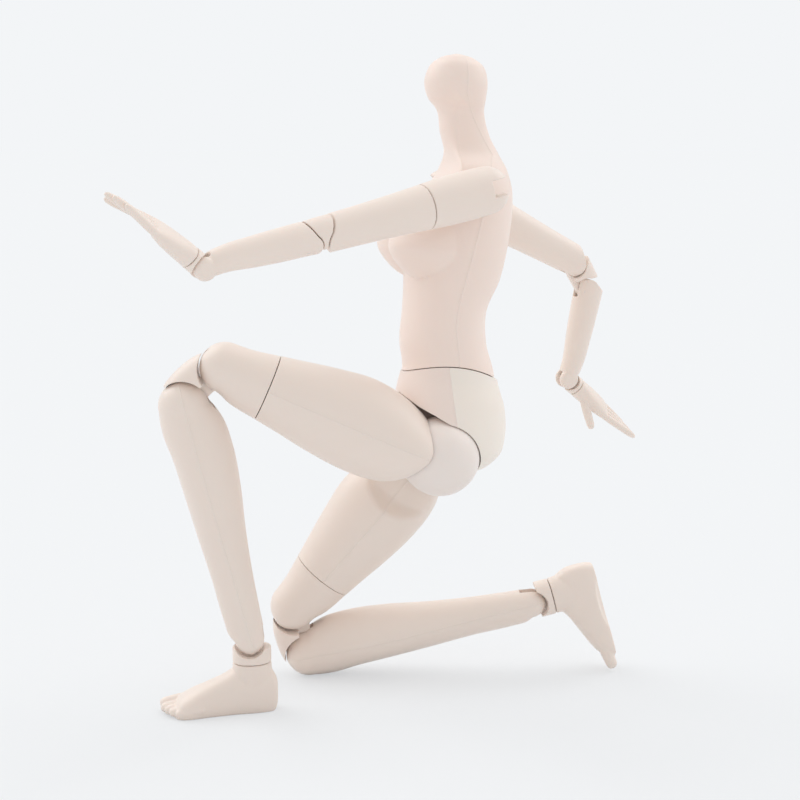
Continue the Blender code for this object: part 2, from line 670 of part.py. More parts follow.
def elbow_room(name, radius, reach, upward, place, turn=0.0):
    """A limb end at the elbow seen from the side: round towards the bend and slanted behind as a stop."""
    way = 1 if upward else -1
    outline = [(back * radius, way * outward * radius) for back, outward in ELBOW_END_SHARES]
    outline += [(outline[-1][0], -way * reach), (outline[0][0], -way * reach)]
    body = prism(name, outline, -reach, reach)
    body.data.transform(place @ Matrix.Rotation(turn, 4, "Y"))
    return body


def make_upper_arm(label, hub):
    arm = arm_body("upper_arm", UPPER_ARM_SHARES, UPPER_ARM_LENGTH, UPPER_ARM_DEPTH, -SEAM_GAP / 2)
    elbow = shift(-ELBOW_FORWARD, 0, -UPPER_ARM_LENGTH)
    combine(arm, elbow_room("end", ELBOW_RADIUS, 2 * UPPER_ARM_LENGTH, False, elbow), "INTERSECT")
    join(arm, rod("peg", ARM_PEG_RADIUS, -UPPER_ARM_DEPTH, ARM_PEG_LENGTH, Matrix(), "Z", ARM_SIDES))
    wall = ELBOW_PLATE_RADIUS + 2 * PLATE_GAP
    fork(arm, elbow, ELBOW_PLATE_HALF, ELBOW_PLATE_RADIUS, False, back=wall)
    cut(arm, rod("bore", ELBOW_PIN_RADIUS + BORE_GAP, -UPPER_ARM_DEPTH, UPPER_ARM_DEPTH, elbow, "Y"))
    finish(arm, f"{label}_upper_arm", hub, "limb_plastic")


def make_elbow(label, hub):
    rings = []
    for share, size in ELBOW_CAP_SHARES:
        depth, side = size * ELBOW_CAP_DEPTH, size * ELBOW_CAP_SIDE
        rings.append(oval_ring(-share * ELBOW_LINK, depth, depth, side, ARM_SIDES))
    cap = skin("cap", rings)
    cap.data.transform(shift(ELBOW_FORWARD))
    reach = 2 * ELBOW_LINK
    cut(cap, block("inner", (-reach, -reach, -reach), (-ELBOW_CAP_FRONT, reach, reach)))
    lower = shift(0, 0, -ELBOW_LINK)
    radius = ELBOW_RADIUS + SOCKET_GAP
    cut(cap, elbow_room("upper_seat", radius, reach, False, Matrix(), ELBOW_STOP))
    cut(cap, elbow_room("lower_seat", radius, reach, True, lower, -ELBOW_STOP))
    link = join(plate("link", ELBOW_PLATE_RADIUS, ELBOW_PLATE_HALF, ELBOW_LINK), cap)
    for place in (Matrix(), lower):
        cut(link, rod("bore", ELBOW_PIN_RADIUS + BORE_GAP, -ELBOW_PIN_HALF, ELBOW_PIN_HALF, place, "Y"))
    finish(link, f"{label}_elbow_joint", hub, "limb_plastic")
    for place, name in ((Matrix(), "upper"), (lower, "lower")):
        pin = rod("pin", ELBOW_PIN_RADIUS, -ELBOW_PIN_HALF, ELBOW_PIN_HALF, place, "Y")
        finish(pin, f"{label}_elbow_{name}_pin", hub, "pin_plastic")


def make_forearm(label, hub):
    arm = arm_body("forearm", FOREARM_SHARES, FOREARM_LENGTH, FOREARM_DEPTH)
    combine(arm, elbow_room("end", ELBOW_RADIUS, 2 * FOREARM_LENGTH, True, Matrix()), "INTERSECT")
    wrist = shift(0, 0, -FOREARM_LENGTH)
    join(arm, barrel("end", WRIST_RADIUS, WRIST_HALF_WIDTH, wrist))
    wall = ELBOW_PLATE_RADIUS + 2 * PLATE_GAP
    fork(arm, Matrix(), ELBOW_PLATE_HALF, ELBOW_PLATE_RADIUS, True, back=wall)
    fork(arm, wrist, WRIST_PLATE_HALF, WRIST_PLATE_RADIUS, False)
    cut(arm, rod("bore", ELBOW_PIN_RADIUS + BORE_GAP, -UPPER_ARM_DEPTH, UPPER_ARM_DEPTH, Matrix(), "Y"))
    cut(arm, rod("bore", WRIST_PIN_RADIUS + BORE_GAP, -UPPER_ARM_DEPTH, UPPER_ARM_DEPTH, wrist, "Y"))
    finish(arm, f"{label}_forearm", hub, "limb_plastic")


def make_wrist(label, hub):
    base = -WRIST_SWIVEL + SEAM_GAP / 2
    collar = rod("collar", WRIST_COLLAR_RADIUS, base, -WRIST_COLLAR_TOP, Matrix(), "Z", ARM_SIDES)
    cut(collar, barrel("seat", WRIST_RADIUS, WRIST_HALF_WIDTH, Matrix(), SOCKET_GAP))
    reach = WRIST_SWIVEL - WRIST_PLATE_RADIUS - 2 * SEAM_GAP
    tongue = plate("tongue", WRIST_PLATE_RADIUS, WRIST_PLATE_HALF, reach)
    peg = rod("peg", WRIST_PEG_RADIUS, -WRIST_SWIVEL - WRIST_PEG_LENGTH, base - SEAM_GAP, Matrix(), "Z")
    neck = rod("neck", WRIST_PEG_RADIUS, base - 2 * SEAM_GAP, base + SEAM_GAP, Matrix(), "Z")
    join(collar, tongue, neck, peg)
    half = WRIST_HALF_WIDTH
    cut(collar, rod("bore", WRIST_PIN_RADIUS + BORE_GAP, -half, half, Matrix(), "Y"))
    finish(collar, f"{label}_wrist_joint", hub, "limb_plastic")
    pin = rod("pin", WRIST_PIN_RADIUS, -WRIST_PIN_HALF, WRIST_PIN_HALF, Matrix(), "Y")
    finish(pin, f"{label}_wrist_pin", hub, "pin_plastic")


def finger(radius, length, place):
    """A finger that tapers to a round tip, pointing down."""
    rings = []
    for down, size in FINGER_SECTION_SHARES:
        wide = size * radius
        rings.append(oval_ring(-down * length, wide, wide, wide, FINGER_SIDES))
    body = skin("finger", rings)
    body.data.transform(place)
    return body


def make_hand(side, label, hub):
    """The palm faces the front and the thumb points out."""
    top = -SEAM_GAP / 2
    rings = []
    for down, depth_share, side_share in PALM_SHARES:
        depth = depth_share * PALM_DEPTH
        height = top - down * HAND_LENGTH
        rings.append(oval_ring(height, depth, depth, side_share * PALM_SIDE, ARM_SIDES, PALM_SQUARENESS))
    hand = skin("hand", rings)
    root = HAND_LENGTH - FINGER_LENGTH
    middle = (len(FINGER_SHARES) - 1) / 2
    for index, (length_share, fan, curl) in enumerate(FINGER_SHARES):
        across = side * (middle - index) * FINGER_PITCH
        turn = Matrix.Rotation(side * fan, 4, "X") @ Matrix.Rotation(curl + FINGER_BEND[label], 4, "Y")
        place = shift(0, across, -root) @ turn
        join(hand, finger(FINGER_RADIUS, length_share * FINGER_LENGTH, place))
    splay = Matrix.Rotation(side * THUMB_SPLAY[label], 4, "X")
    base = shift(-FINGER_RADIUS, side * THUMB_SIDE_SHARE * PALM_SIDE, -THUMB_START_SHARE * HAND_LENGTH)
    join(hand, finger(THUMB_RADIUS, THUMB_LENGTH, base @ splay))
    bore_end = -WRIST_PEG_LENGTH - BORE_GAP
    cut(hand, rod("bore", WRIST_PEG_RADIUS + BORE_GAP, bore_end, WRIST_PEG_LENGTH))
    finish(hand, f"{label}_hand", hub, "limb_plastic")


def make_hip(side, label, hub):
    body = ball("ball", HIP_BALL_RADIUS)
    low = (-HIP_TONGUE_FRONT - PLATE_GAP, -HIP_SLOT_HALF, -2 * HIP_BALL_RADIUS)
    high = (HIP_TONGUE_BACK + PLATE_GAP, HIP_SLOT_HALF, HIP_TONGUE_TOP + PLATE_GAP)
    cut(body, block("slot", low, high))
    cut(body, rod("bore", HIP_PIN_RADIUS + BORE_GAP, -2 * HIP_PIN_HALF, 2 * HIP_PIN_HALF, Matrix(), "X"))
    finish(body, f"{label}_hip_joint", hub, "joint_plastic")
    pin = rod("pin", HIP_PIN_RADIUS, -HIP_PIN_HALF, HIP_PIN_HALF, Matrix(), "X")
    finish(pin, f"{label}_hip_pin", hub, "pin_plastic")


def make_thigh(side, label, hub):
    thigh = limb_body("thigh", THIGH_SHARES, THIGH_LENGTH, (THIGH_BACK, THIGH_FRONT, THIGH_SIDE), LEG_SIDES)
    floor = -THIGH_CUT + SEAM_GAP / 2
    reach = 2 * THIGH_BACK
    cut(thigh, block("end", (-reach, -reach, 2 * floor), (reach, reach, floor)))
    cut(thigh, ball("cup", HIP_BALL_RADIUS + SOCKET_GAP))
    inner = sorted((-side * HIP_SPREAD - side * THIGH_SIDE, side * (THIGH_CLEAR_SPREAD - HIP_SPREAD)))
    cut(thigh, rod("clear", THIGH_CLEAR_RADIUS, *inner, Matrix(), "Y", 2 * KNEE_SIDES))
    drop = -HIP_BALL_RADIUS - KNEE_PEG_RIM
    rise = HIP_PIN_RADIUS / 3
    low, high = (-HIP_TONGUE_FRONT, -HIP_TONGUE_HALF, drop), (HIP_TONGUE_BACK, HIP_TONGUE_HALF, rise)
    tongue = block("tongue", low, high)
    eye = rod("eye", HIP_TONGUE_TOP, -HIP_TONGUE_FRONT, HIP_TONGUE_BACK, Matrix(), "X", ARM_SIDES)
    join(thigh, tongue, eye)
    cut(thigh, rod("bore", HIP_PIN_RADIUS + BORE_GAP, -HIP_PIN_HALF, HIP_PIN_HALF, Matrix(), "X"))
    rim_low = -THIGH_CUT + KNEE_PEG_LENGTH - KNEE_PEG_RIM_THICK - BORE_GAP
    rim_high = -THIGH_CUT + KNEE_PEG_LENGTH + BORE_GAP
    cut(thigh, rod("peg_bore", KNEE_PEG_RADIUS + BORE_GAP, 2 * floor, rim_high, Matrix(), "Z", ARM_SIDES))
    cut(thigh, rod("rim_bore", KNEE_PEG_RIM + BORE_GAP, rim_low, rim_high, Matrix(), "Z", ARM_SIDES))
    front, rear = straight_parting(THIGH_SEAM_BACK, 2 * floor, THIGH_BACK, reach)
    front_half, back_half = halves(thigh, front, rear, -reach, reach)
    finish(front_half, f"{label}_thigh_front", hub, "limb_plastic")
    finish(back_half, f"{label}_thigh_back", hub, "limb_plastic")


def make_knee_sleeve(label, hub):
    depths = (THIGH_BACK, THIGH_FRONT, THIGH_SIDE)
    sleeve = limb_body("sleeve", KNEE_SLEEVE_SHARES, THIGH_LENGTH, depths, LEG_SIDES, THIGH_CUT)
    reach = 2 * THIGH_BACK
    cut(sleeve, block("end", (-reach, -reach, -SEAM_GAP / 2), (reach, reach, reach)))
    knee = shift(0, 0, THIGH_CUT - THIGH_LENGTH)
    join(sleeve, barrel("end", KNEE_RADIUS, KNEE_HALF_WIDTH, knee, 0.0, KNEE_SIDES))
    peg = rod("peg", KNEE_PEG_RADIUS, -KNEE_PEG_RADIUS, KNEE_PEG_LENGTH, Matrix(), "Z", ARM_SIDES)
    rim_start = KNEE_PEG_LENGTH - KNEE_PEG_RIM_THICK
    join(sleeve, peg, rod("rim", KNEE_PEG_RIM, rim_start, KNEE_PEG_LENGTH, Matrix(), "Z", ARM_SIDES))
    wall = KNEE_PLATE_RADIUS + 2 * PLATE_GAP
    fork(sleeve, knee, KNEE_PLATE_HALF, KNEE_PLATE_RADIUS, False, front=wall)
    cut(sleeve, rod("bore", KNEE_PIN_RADIUS + BORE_GAP, -reach, reach, knee, "Y"))
    finish(sleeve, f"{label}_knee_sleeve", hub, "limb_plastic")


def make_knee(label, hub):
    tall = KNEE_CAP_BOTTOM - KNEE_CAP_TOP
    rings = []
    for share, front_share, side_share in KNEE_CAP_SHARES:
        height = -KNEE_CAP_TOP - share * tall
        front, side = front_share * KNEE_CAP_FRONT, side_share * KNEE_CAP_SIDE
        rings.append(oval_ring(height, 0, front, side, LEG_SIDES, KNEE_SQUARENESS))
    cap = skin("cap", rings)
    reach = 2 * KNEE_CAP_FRONT
    cut(cap, block("inner", (-KNEE_CAP_INNER, -reach, -2 * reach), (reach, reach, reach)))
    lower = shift(0, 0, -KNEE_LINK)
    cut(cap, barrel("upper_seat", KNEE_RADIUS, KNEE_HALF_WIDTH, Matrix(), SOCKET_GAP, KNEE_SIDES))
    cut(cap, barrel("lower_seat", KNEE_RADIUS, KNEE_HALF_WIDTH, lower, SOCKET_GAP, KNEE_SIDES))
    link = plate("link", KNEE_PLATE_RADIUS, KNEE_PLATE_HALF, KNEE_LINK)
    join(link, cap)
    for place in (Matrix(), lower):
        cut(link, rod("bore", KNEE_PIN_RADIUS + BORE_GAP, -KNEE_PIN_HALF, KNEE_PIN_HALF, place, "Y"))
    finish(link, f"{label}_knee_joint", hub, "limb_plastic")
    for place, name in ((Matrix(), "upper"), (lower, "lower")):
        pin = rod("pin", KNEE_PIN_RADIUS, -KNEE_PIN_HALF, KNEE_PIN_HALF, place, "Y")
        finish(pin, f"{label}_knee_{name}_pin", hub, "pin_plastic")


def make_shin(label, hub):
    shin = limb_body("shin", SHIN_SHARES, SHIN_LENGTH, (SHIN_BACK, SHIN_FRONT, SHIN_SIDE), LEG_SIDES)
    ankle = shift(0, 0, -SHIN_LENGTH)
    join(shin, barrel("top", KNEE_RADIUS, KNEE_HALF_WIDTH, Matrix(), 0.0, KNEE_SIDES))
    join(shin, barrel("end", ANKLE_RADIUS, ANKLE_HALF_WIDTH, ankle))
    wall = KNEE_PLATE_RADIUS + 2 * PLATE_GAP
    fork(shin, Matrix(), KNEE_PLATE_HALF, KNEE_PLATE_RADIUS, True, front=wall)
    fork(shin, ankle, ANKLE_PLATE_HALF, ANKLE_PLATE_RADIUS, False)
    wide = 2 * SHIN_BACK
    cut(shin, rod("bore", KNEE_PIN_RADIUS + BORE_GAP, -wide, wide, Matrix(), "Y"))
    cut(shin, rod("bore", ANKLE_PIN_RADIUS + BORE_GAP, -wide, wide, ankle, "Y"))
    front, rear = straight_parting(SHIN_SEAM_BACK, -2 * SHIN_LENGTH, SHIN_LENGTH, wide)
    front_half, back_half = halves(shin, front, rear, -wide, wide)
    finish(front_half, f"{label}_shin_front", hub, "limb_plastic")
    finish(back_half, f"{label}_shin_back", hub, "limb_plastic")


def make_ankle(label, hub):
    base = -ANKLE_SWIVEL + SEAM_GAP / 2
    rings = []
    back, front, side = ANKLE_COLLAR_BACK, ANKLE_COLLAR_FRONT, ANKLE_COLLAR_SIDE
    for height in (base, -ANKLE_COLLAR_TOP):
        rings.append(oval_ring(height, back, front, side, ARM_SIDES, ANKLE_SQUARENESS))
    collar = skin("collar", rings)
    cut(collar, barrel("seat", ANKLE_RADIUS, ANKLE_HALF_WIDTH, Matrix(), SOCKET_GAP))
    tongue = plate("tongue", ANKLE_PLATE_RADIUS, ANKLE_PLATE_HALF, ANKLE_COLLAR_TOP)
    peg = rod("peg", ANKLE_PEG_RADIUS, -ANKLE_SWIVEL - ANKLE_PEG_LENGTH, base + SEAM_GAP, Matrix(), "Z")
    join(collar, tongue, peg)
    half = ANKLE_HALF_WIDTH
    cut(collar, rod("bore", ANKLE_PIN_RADIUS + BORE_GAP, -half, half, Matrix(), "Y"))
    finish(collar, f"{label}_ankle_joint", hub, "limb_plastic")
    pin = rod("pin", ANKLE_PIN_RADIUS, -ANKLE_PIN_HALF, ANKLE_PIN_HALF, Matrix(), "Y")
    finish(pin, f"{label}_ankle_pin", hub, "pin_plastic")


def make_foot(label, hub):
    """The swivel plane is at this piece's origin and the sole is flat with rounded edges."""
    sole = ANKLE_SWIVEL - FOOT_HEIGHT
    height = FOOT_HEIGHT - ANKLE_SWIVEL - SEAM_GAP / 2
    rings = []
    for along, top_share, sole_share, side_share in FOOT_SHARES:
        back = FOOT_HEEL - along * (FOOT_HEEL + FOOT_TOE)
        low = sole + (sole_share - FOOT_UNDERCUT_SHARE) * height
        half = (sole + top_share * height - low) / 2
        ring = []
        for rise, across, _ in oval_ring(0, 1, 1, 1, LEG_SIDES, FOOT_SQUARENESS):
            ring.append((back, across * side_share * FOOT_SIDE, max(low + half + rise * half, sole)))
        rings.append(ring)
    foot = skin("foot", rings)
    rings = []
    for down, size in ((0, 1), (FOOT_NECK_SHARE, FOOT_NECK_TAPER_SHARE)):
        depths = (size * ANKLE_COLLAR_BACK, size * ANKLE_COLLAR_FRONT, size * ANKLE_COLLAR_SIDE)
        rings.append(oval_ring(-SEAM_GAP / 2 - down * height, *depths, ARM_SIDES, ANKLE_SQUARENESS))
    join(foot, skin("neck", rings))
    cut(foot, rod("bore", ANKLE_PEG_RADIUS + BORE_GAP, -ANKLE_PEG_LENGTH - BORE_GAP, ANKLE_PEG_LENGTH))
    finish(foot, f"{label}_foot", hub, "limb_plastic")


def make_arm(side, label, torso_hub):
    pose = ARM_POSE[label]
    shoulder = (SHOULDER_BACK, side * SHOULDER_SPREAD, SHOULDER_UP)
    swing_hub = joint_empty(f"{label}_shoulder_swing", torso_hub, shoulder, pose["swing"], "Y")
    raise_hub = joint_empty(f"{label}_shoulder_raise", swing_hub, (0, 0, 0), side * pose["raise"], "X")
    arm_hub = joint_empty(f"{label}_arm_twist", raise_hub, (0, 0, -SLEEVE_LENGTH), pose["arm_twist"], "Z")
    elbow = (-ELBOW_FORWARD, 0, -UPPER_ARM_LENGTH)
    elbow_hub = joint_empty(f"{label}_elbow_upper", arm_hub, elbow, pose["elbow_upper"], "Y")
    lower = (0, 0, -ELBOW_LINK)
    forearm_hub = joint_empty(f"{label}_elbow_lower", elbow_hub, lower, pose["elbow_lower"], "Y")
    wrist = (0, 0, -FOREARM_LENGTH)
    wrist_hub = joint_empty(f"{label}_wrist_bend", forearm_hub, wrist, pose["wrist"], "Y")
    hand_hub = joint_empty(f"{label}_hand_turn", wrist_hub, (0, 0, -WRIST_SWIVEL), pose["hand_turn"])
    make_shoulder(side, label, swing_hub, raise_hub)
    make_upper_arm(label, arm_hub)
    make_elbow(label, elbow_hub)
    make_forearm(label, forearm_hub)
    make_wrist(label, wrist_hub)
    make_hand(side, label, hand_hub)


def make_leg(side, label, pelvis_hub):
    pose = LEG_POSE[label]
    hip_hub = joint_empty(f"{label}_hip_swing", pelvis_hub, (0, side * HIP_SPREAD, 0), pose["hip"], "Y")
    thigh_hub = joint_empty(f"{label}_hip_spread", hip_hub, (0, 0, 0), side * pose["spread"], "X")
    sleeve_hub = joint_empty(f"{label}_thigh_twist", thigh_hub, (0, 0, -THIGH_CUT), pose["thigh_twist"])
    knee = (0, 0, THIGH_CUT - THIGH_LENGTH)
    knee_hub = joint_empty(f"{label}_knee_upper", sleeve_hub, knee, -pose["knee_upper"], "Y")
    shin_hub = joint_empty(f"{label}_knee_lower", knee_hub, (0, 0, -KNEE_LINK), -pose["knee_lower"], "Y")
    ankle_hub = joint_empty(f"{label}_ankle_bend", shin_hub, (0, 0, -SHIN_LENGTH), pose["ankle"], "Y")
    foot_hub = joint_empty(f"{label}_foot_turn", ankle_hub, (0, 0, -ANKLE_SWIVEL), pose["foot_turn"], "Z")
    make_hip(side, label, hip_hub)
    make_thigh(side, label, thigh_hub)
    make_knee_sleeve(label, sleeve_hub)
    make_knee(label, knee_hub)
    make_shin(label, shin_hub)
    make_ankle(label, ankle_hub)
    make_foot(label, foot_hub)
    return foot_hub


def seat_on_sole(root, foot_hub):
    """Lower the doll until its left sole lies level on the ground, with the origin under the ankle."""
    bpy.context.view_layer.update()
    sole = foot_hub.matrix_world @ Vector((0, 0, ANKLE_SWIVEL - FOOT_HEIGHT))
    down = foot_hub.matrix_world.to_3x3() @ Vector((0, 0, 1))
    level = down.rotation_difference(Vector((0, 0, 1))).to_matrix().to_4x4()
    root.matrix_world = level @ Matrix.Translation(-sole)


def build():
    clear_scene()
    root = joint_empty("doll", None)
    pelvis_hub = joint_empty("pelvis_place", root)
    pelvis_hub.rotation_euler = PELVIS_TURN
    make_pelvis(pelvis_hub)
    waist_hub = joint_empty("waist_bend", pelvis_hub, (0, 0, WAIST_PIVOT_UP), WAIST_BEND, "Y")
    torso_hub = joint_empty("torso_twist", waist_hub, (0, 0, 0), WAIST_TWIST, "Z")
    make_waist_joint(waist_hub)
    make_torso(torso_hub)
    feet = {}
    for side, label in ((-1, "left"), (1, "right")):
        make_arm(side, label, torso_hub)
        feet[label] = make_leg(side, label, pelvis_hub)
    seat_on_sole(root, feet["left"])


build()
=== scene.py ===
import json
import math

import bpy
import numpy as np
from mathutils import Matrix, Vector


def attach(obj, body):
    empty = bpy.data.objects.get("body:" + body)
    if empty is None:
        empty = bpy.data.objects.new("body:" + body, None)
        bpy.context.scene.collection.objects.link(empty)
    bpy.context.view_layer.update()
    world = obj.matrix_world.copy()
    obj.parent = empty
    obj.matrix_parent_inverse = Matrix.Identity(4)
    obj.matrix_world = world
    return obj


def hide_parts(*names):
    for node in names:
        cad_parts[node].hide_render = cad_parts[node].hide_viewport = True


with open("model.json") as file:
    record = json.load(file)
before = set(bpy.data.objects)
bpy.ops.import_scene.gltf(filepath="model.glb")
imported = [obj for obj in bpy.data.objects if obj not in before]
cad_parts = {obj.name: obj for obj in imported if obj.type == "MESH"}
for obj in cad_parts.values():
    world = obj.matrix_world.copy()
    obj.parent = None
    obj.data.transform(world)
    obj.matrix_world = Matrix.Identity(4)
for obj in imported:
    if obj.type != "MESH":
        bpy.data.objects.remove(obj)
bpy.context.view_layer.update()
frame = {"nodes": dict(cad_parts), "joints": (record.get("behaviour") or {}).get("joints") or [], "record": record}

# Every limb is modelled hanging down from its own joint: +Z up the limb, -X the doll's front, +Y its right.
JOINTS = {joint["name"]: joint for joint in frame["joints"]}
SIDES = (("left", -1), ("right", 1))

# Clearances.
WAIST_GAP = 0.00025
SOCKET_GAP = 0.00035
CUT_GAP = 0.00018
PLATE_GAP = 0.00025
PARTING_GAP = 0.000001
CUT_REACH = 0.016

# A parting line stands out as a fine ridge.
RIDGE_HALF_WIDTH = 0.00015
RIDGE_HEIGHT = 0.00009

# Camera, measured from the left sole.
CAMERA_PLACE = (0.03963, -0.39201, 0.14815)
CAMERA_PITCH = math.radians(9.38)
CAMERA_LENS = 69.55
CAMERA_SENSOR = 36
CAMERA_CLIP = 0.01

# Pale floor, backdrop and light. Each lamp: name, the way its light falls, strength, spread, colour.
STAGE_REACH = 40.0
FLOOR_COLOUR = (0.786, 0.802, 0.818)
BACKDROP_COLOUR = (0.896, 0.913, 0.930)
FLOOR_GLOW_SHARE = 0.55
SKY_COLOUR = (1.0, 0.995, 0.99)
SKY_STRENGTH = 0.78
LAMPS = (
    ("left_light", (0.75, -0.45, -0.8), 0.95, math.radians(50), (1.0, 1.0, 1.0)),
    ("right_light", (-0.75, -0.45, -0.8), 0.75, math.radians(50), (1.0, 1.0, 1.0)),
)

# How finely surfaces are cut.
BODY_SIDES = 144
LIMB_SIDES = 96
SMALL_SIDES = 64
FINGER_SIDES = 24
RING_STEP = 0.00055
FINGER_STEP = 0.0004
FOOT_STEP = 0.015
DOME_STEPS = 14
SMALL_VOXEL = 0.0002
HAND_VOXEL = 0.00016
FOOT_VOXEL = 0.00022
LIMB_ROUNDS = 3
COLLAR_ROUNDS = 2
HAND_ROUNDS = 8
FOOT_ROUNDS = 12
SHARP_ANGLE = 38
SMOOTH_ANGLE = 180
TINY = 1e-6

# A rounded limb end: how much narrower its tip is, and how full its sides stay.
DOME_NARROWING = 0.30
DOME_FULLNESS = 0.35

# Plastic: size and detail of the colour clouds, the surface grain, the spread of gloss and soft light.
CLOUD_SCALE = 45
CLOUD_DETAIL = 3
GRAIN_SCALE = 2600
GRAIN_DETAIL = 2
GRAIN_STRENGTH = 0.10
GRAIN_DEPTH = 0.00003
GLOSS_BELOW = 0.05
GLOSS_ABOVE = 0.07
GLOW_COLOURS = (1.0, 0.45, 0.30)
GLOW_REACH = 0.0012
SPECULAR_LEVEL = 0.4
SHEEN = 0.22
SHEEN_ROUGHNESS = 0.45

# Pelvis.
PELVIS_HEIGHT = 0.027
PELVIS_DEPTHS = (0.0168, 0.0132, 0.0190)
PELVIS_SHARES = (
    (1.00, 0.74, 0.93, 0.74), (0.78, 0.80, 0.945, 0.76), (0.50, 0.99, 0.99, 0.89),
    (0.24, 1.06, 0.965, 0.985), (0.08, 1.04, 0.89, 1.0), (-0.06, 0.88, 0.76, 0.93),
    (-0.15, 0.52, 0.36, 0.60),
)
HIP_BALL_RADIUS = 0.0104
CROTCH_RADIUS = 0.0112
CROTCH_HALF_WIDTH = 0.0046
OPENING_REACH = 0.040
OPENING_SHARES = (
    (-1.75, 1.62), (-1.12, 1.36), (-0.72, 1.18), (-0.30, 1.04), (0.12, 0.87), (0.42, 0.62), (0.68, 0.33),
    (0.86, 0.0), (0.94, -0.30), (2.30, -0.30), (2.30, -3.0), (-3.6, -3.0), (-3.6, 1.9),
)
PELVIS_SEAM = 0.0052
PELVIS_SEAM_SLOPE = math.tan(math.radians(-15.5))

# Waist.
WAIST_ARCH_RADIUS = 0.026
WAIST_ARCH_TOP = 0.0196
WAIST_ARCH_BACK = 0.0012

# Torso, neck and head.
TORSO_HEIGHT = 0.1004
TORSO_DEPTHS = (0.0165, 0.0118, 0.0148)
TORSO_SHARES = (
    (0.13, 0.90, 0.89, 1.02), (0.18, 0.84, 0.87, 0.96), (0.25, 0.70, 0.97, 0.91),
    (0.335, 0.67, 0.94, 0.92), (0.42, 0.87, 0.94, 0.97), (0.51, 0.975, 1.0, 1.0),
    (0.60, 1.02, 0.86, 0.99), (0.665, 0.99, 0.40, 0.96), (0.71, 0.90, 0.13, 0.80),
    (0.75, 0.76, 0.12, 0.46), (0.80, 0.585, 0.28, 0.37), (0.855, 0.49, 0.38, 0.37),
    (0.885, 0.50, 0.59, 0.50), (0.925, 0.515, 0.69, 0.565), (0.965, 0.46, 0.60, 0.49),
    (0.988, 0.30, 0.38, 0.32), (1.00, 0.06, 0.05, 0.06),
)
BUST_UP = 0.0506
BUST_RISE = 0.0074
BUST_TURN = math.radians(143)
BUST_SPAN = math.radians(50)
BUST_ABOVE = 0.0135
BUST_BELOW = 0.0085
BUST_EASE = 1.35
BUST_CREASE_EASE = 0.6
SHOULDER_PLACE = (0.00393, 0.02044, 0.06515)
ARMHOLE_RADIUS = 0.0070
ARMHOLE_SPREAD = 0.0138
PARTING_SHARES = (
    (0.0, 0.085), (0.32, 0.085), (0.46, 0.0), (0.56, 0.03), (0.88, 0.315), (1.05, 0.42),
    (1.15, 0.60), (1.28, 0.28), (1.38, 0.08), (1.80, 0.08),
)

# Shoulder sleeve and arm.
SLEEVE_RADIUS = 0.0062
SLEEVE_LENGTH = 0.01839
SLEEVE_DOME_SHARE = 0.985
SLEEVE_SHARES = ((0.0, 0.97, 0.97, 0.97), (0.45, 1.0, 1.0, 0.99), (1.0, 0.93, 0.93, 0.93))
SHOULDER_SLOT_HALF = 0.0018
SHOULDER_SLOT_ROOM = 0.0025
SHOULDER_NOTCH_HALF = 0.0021
SHOULDER_NOTCH_UP = -0.0011
UPPER_ARM_LENGTH = 0.0254
UPPER_ARM_DEPTH = 0.0056
# Arm sections: share of the length, then of the depth for half the depth front and back, half the side
# and how far back the middle lies.
UPPER_ARM_SHARES = (
    (0.0, 1.02, 1.02, 1.0, 0.0), (0.37, 0.925, 0.925, 0.93, 0.0), (0.78, 0.85, 0.85, 0.84, 0.0),
    (1.0, 0.825, 0.825, 0.80, 0.0), (1.2, 0.81, 0.81, 0.77, 0.0),
)
ELBOW_FORWARD = 0.0018
ELBOW_RADIUS = 0.0038
ELBOW_LINK = 0.0093
ELBOW_PLATE = (0.0016, 0.0011)
ELBOW_CAP = (0.0045, 0.0045, 0.0042)
ELBOW_CAP_FRONT = 0.0009
ELBOW_CAP_SHARES = ((0.0, 1.0), (0.5, 0.985), (1.0, 0.92))
ELBOW_CAP_STOP = math.radians(4)
ELBOW_CAP_GAP = 0.0003
# A limb end at the elbow is round to this turn and then slants away to this place, in elbow radii.
ELBOW_ROUND_END = math.radians(40.5)
ELBOW_SLANT_END = (2.2, -0.26)
FOREARM_LENGTH = 0.0259
FOREARM_DEPTH = 0.0041
FOREARM_SHARES = (
    (-0.18, 1.02, 1.02, 1.02, 0.47), (0.0, 1.01, 1.01, 1.02, 0.46), (0.22, 0.98, 0.98, 0.98, 0.40),
    (0.50, 0.90, 0.90, 0.90, 0.33), (0.80, 0.77, 0.77, 0.78, 0.25), (0.92, 0.71, 0.71, 0.72, 0.12),
    (1.0, 0.55, 0.55, 0.60, 0.0), (1.05, 0.3, 0.3, 0.45, 0.0),
)
WRIST_RADIUS = 0.0029
WRIST_HALF_WIDTH = 0.0028
WRIST_PLATE = (0.0017, 0.0008)
WRIST_COLLAR_RADIUS = 0.0028
WRIST_COLLAR_TOP = 0.0012
WRIST_SWIVEL = 0.0042

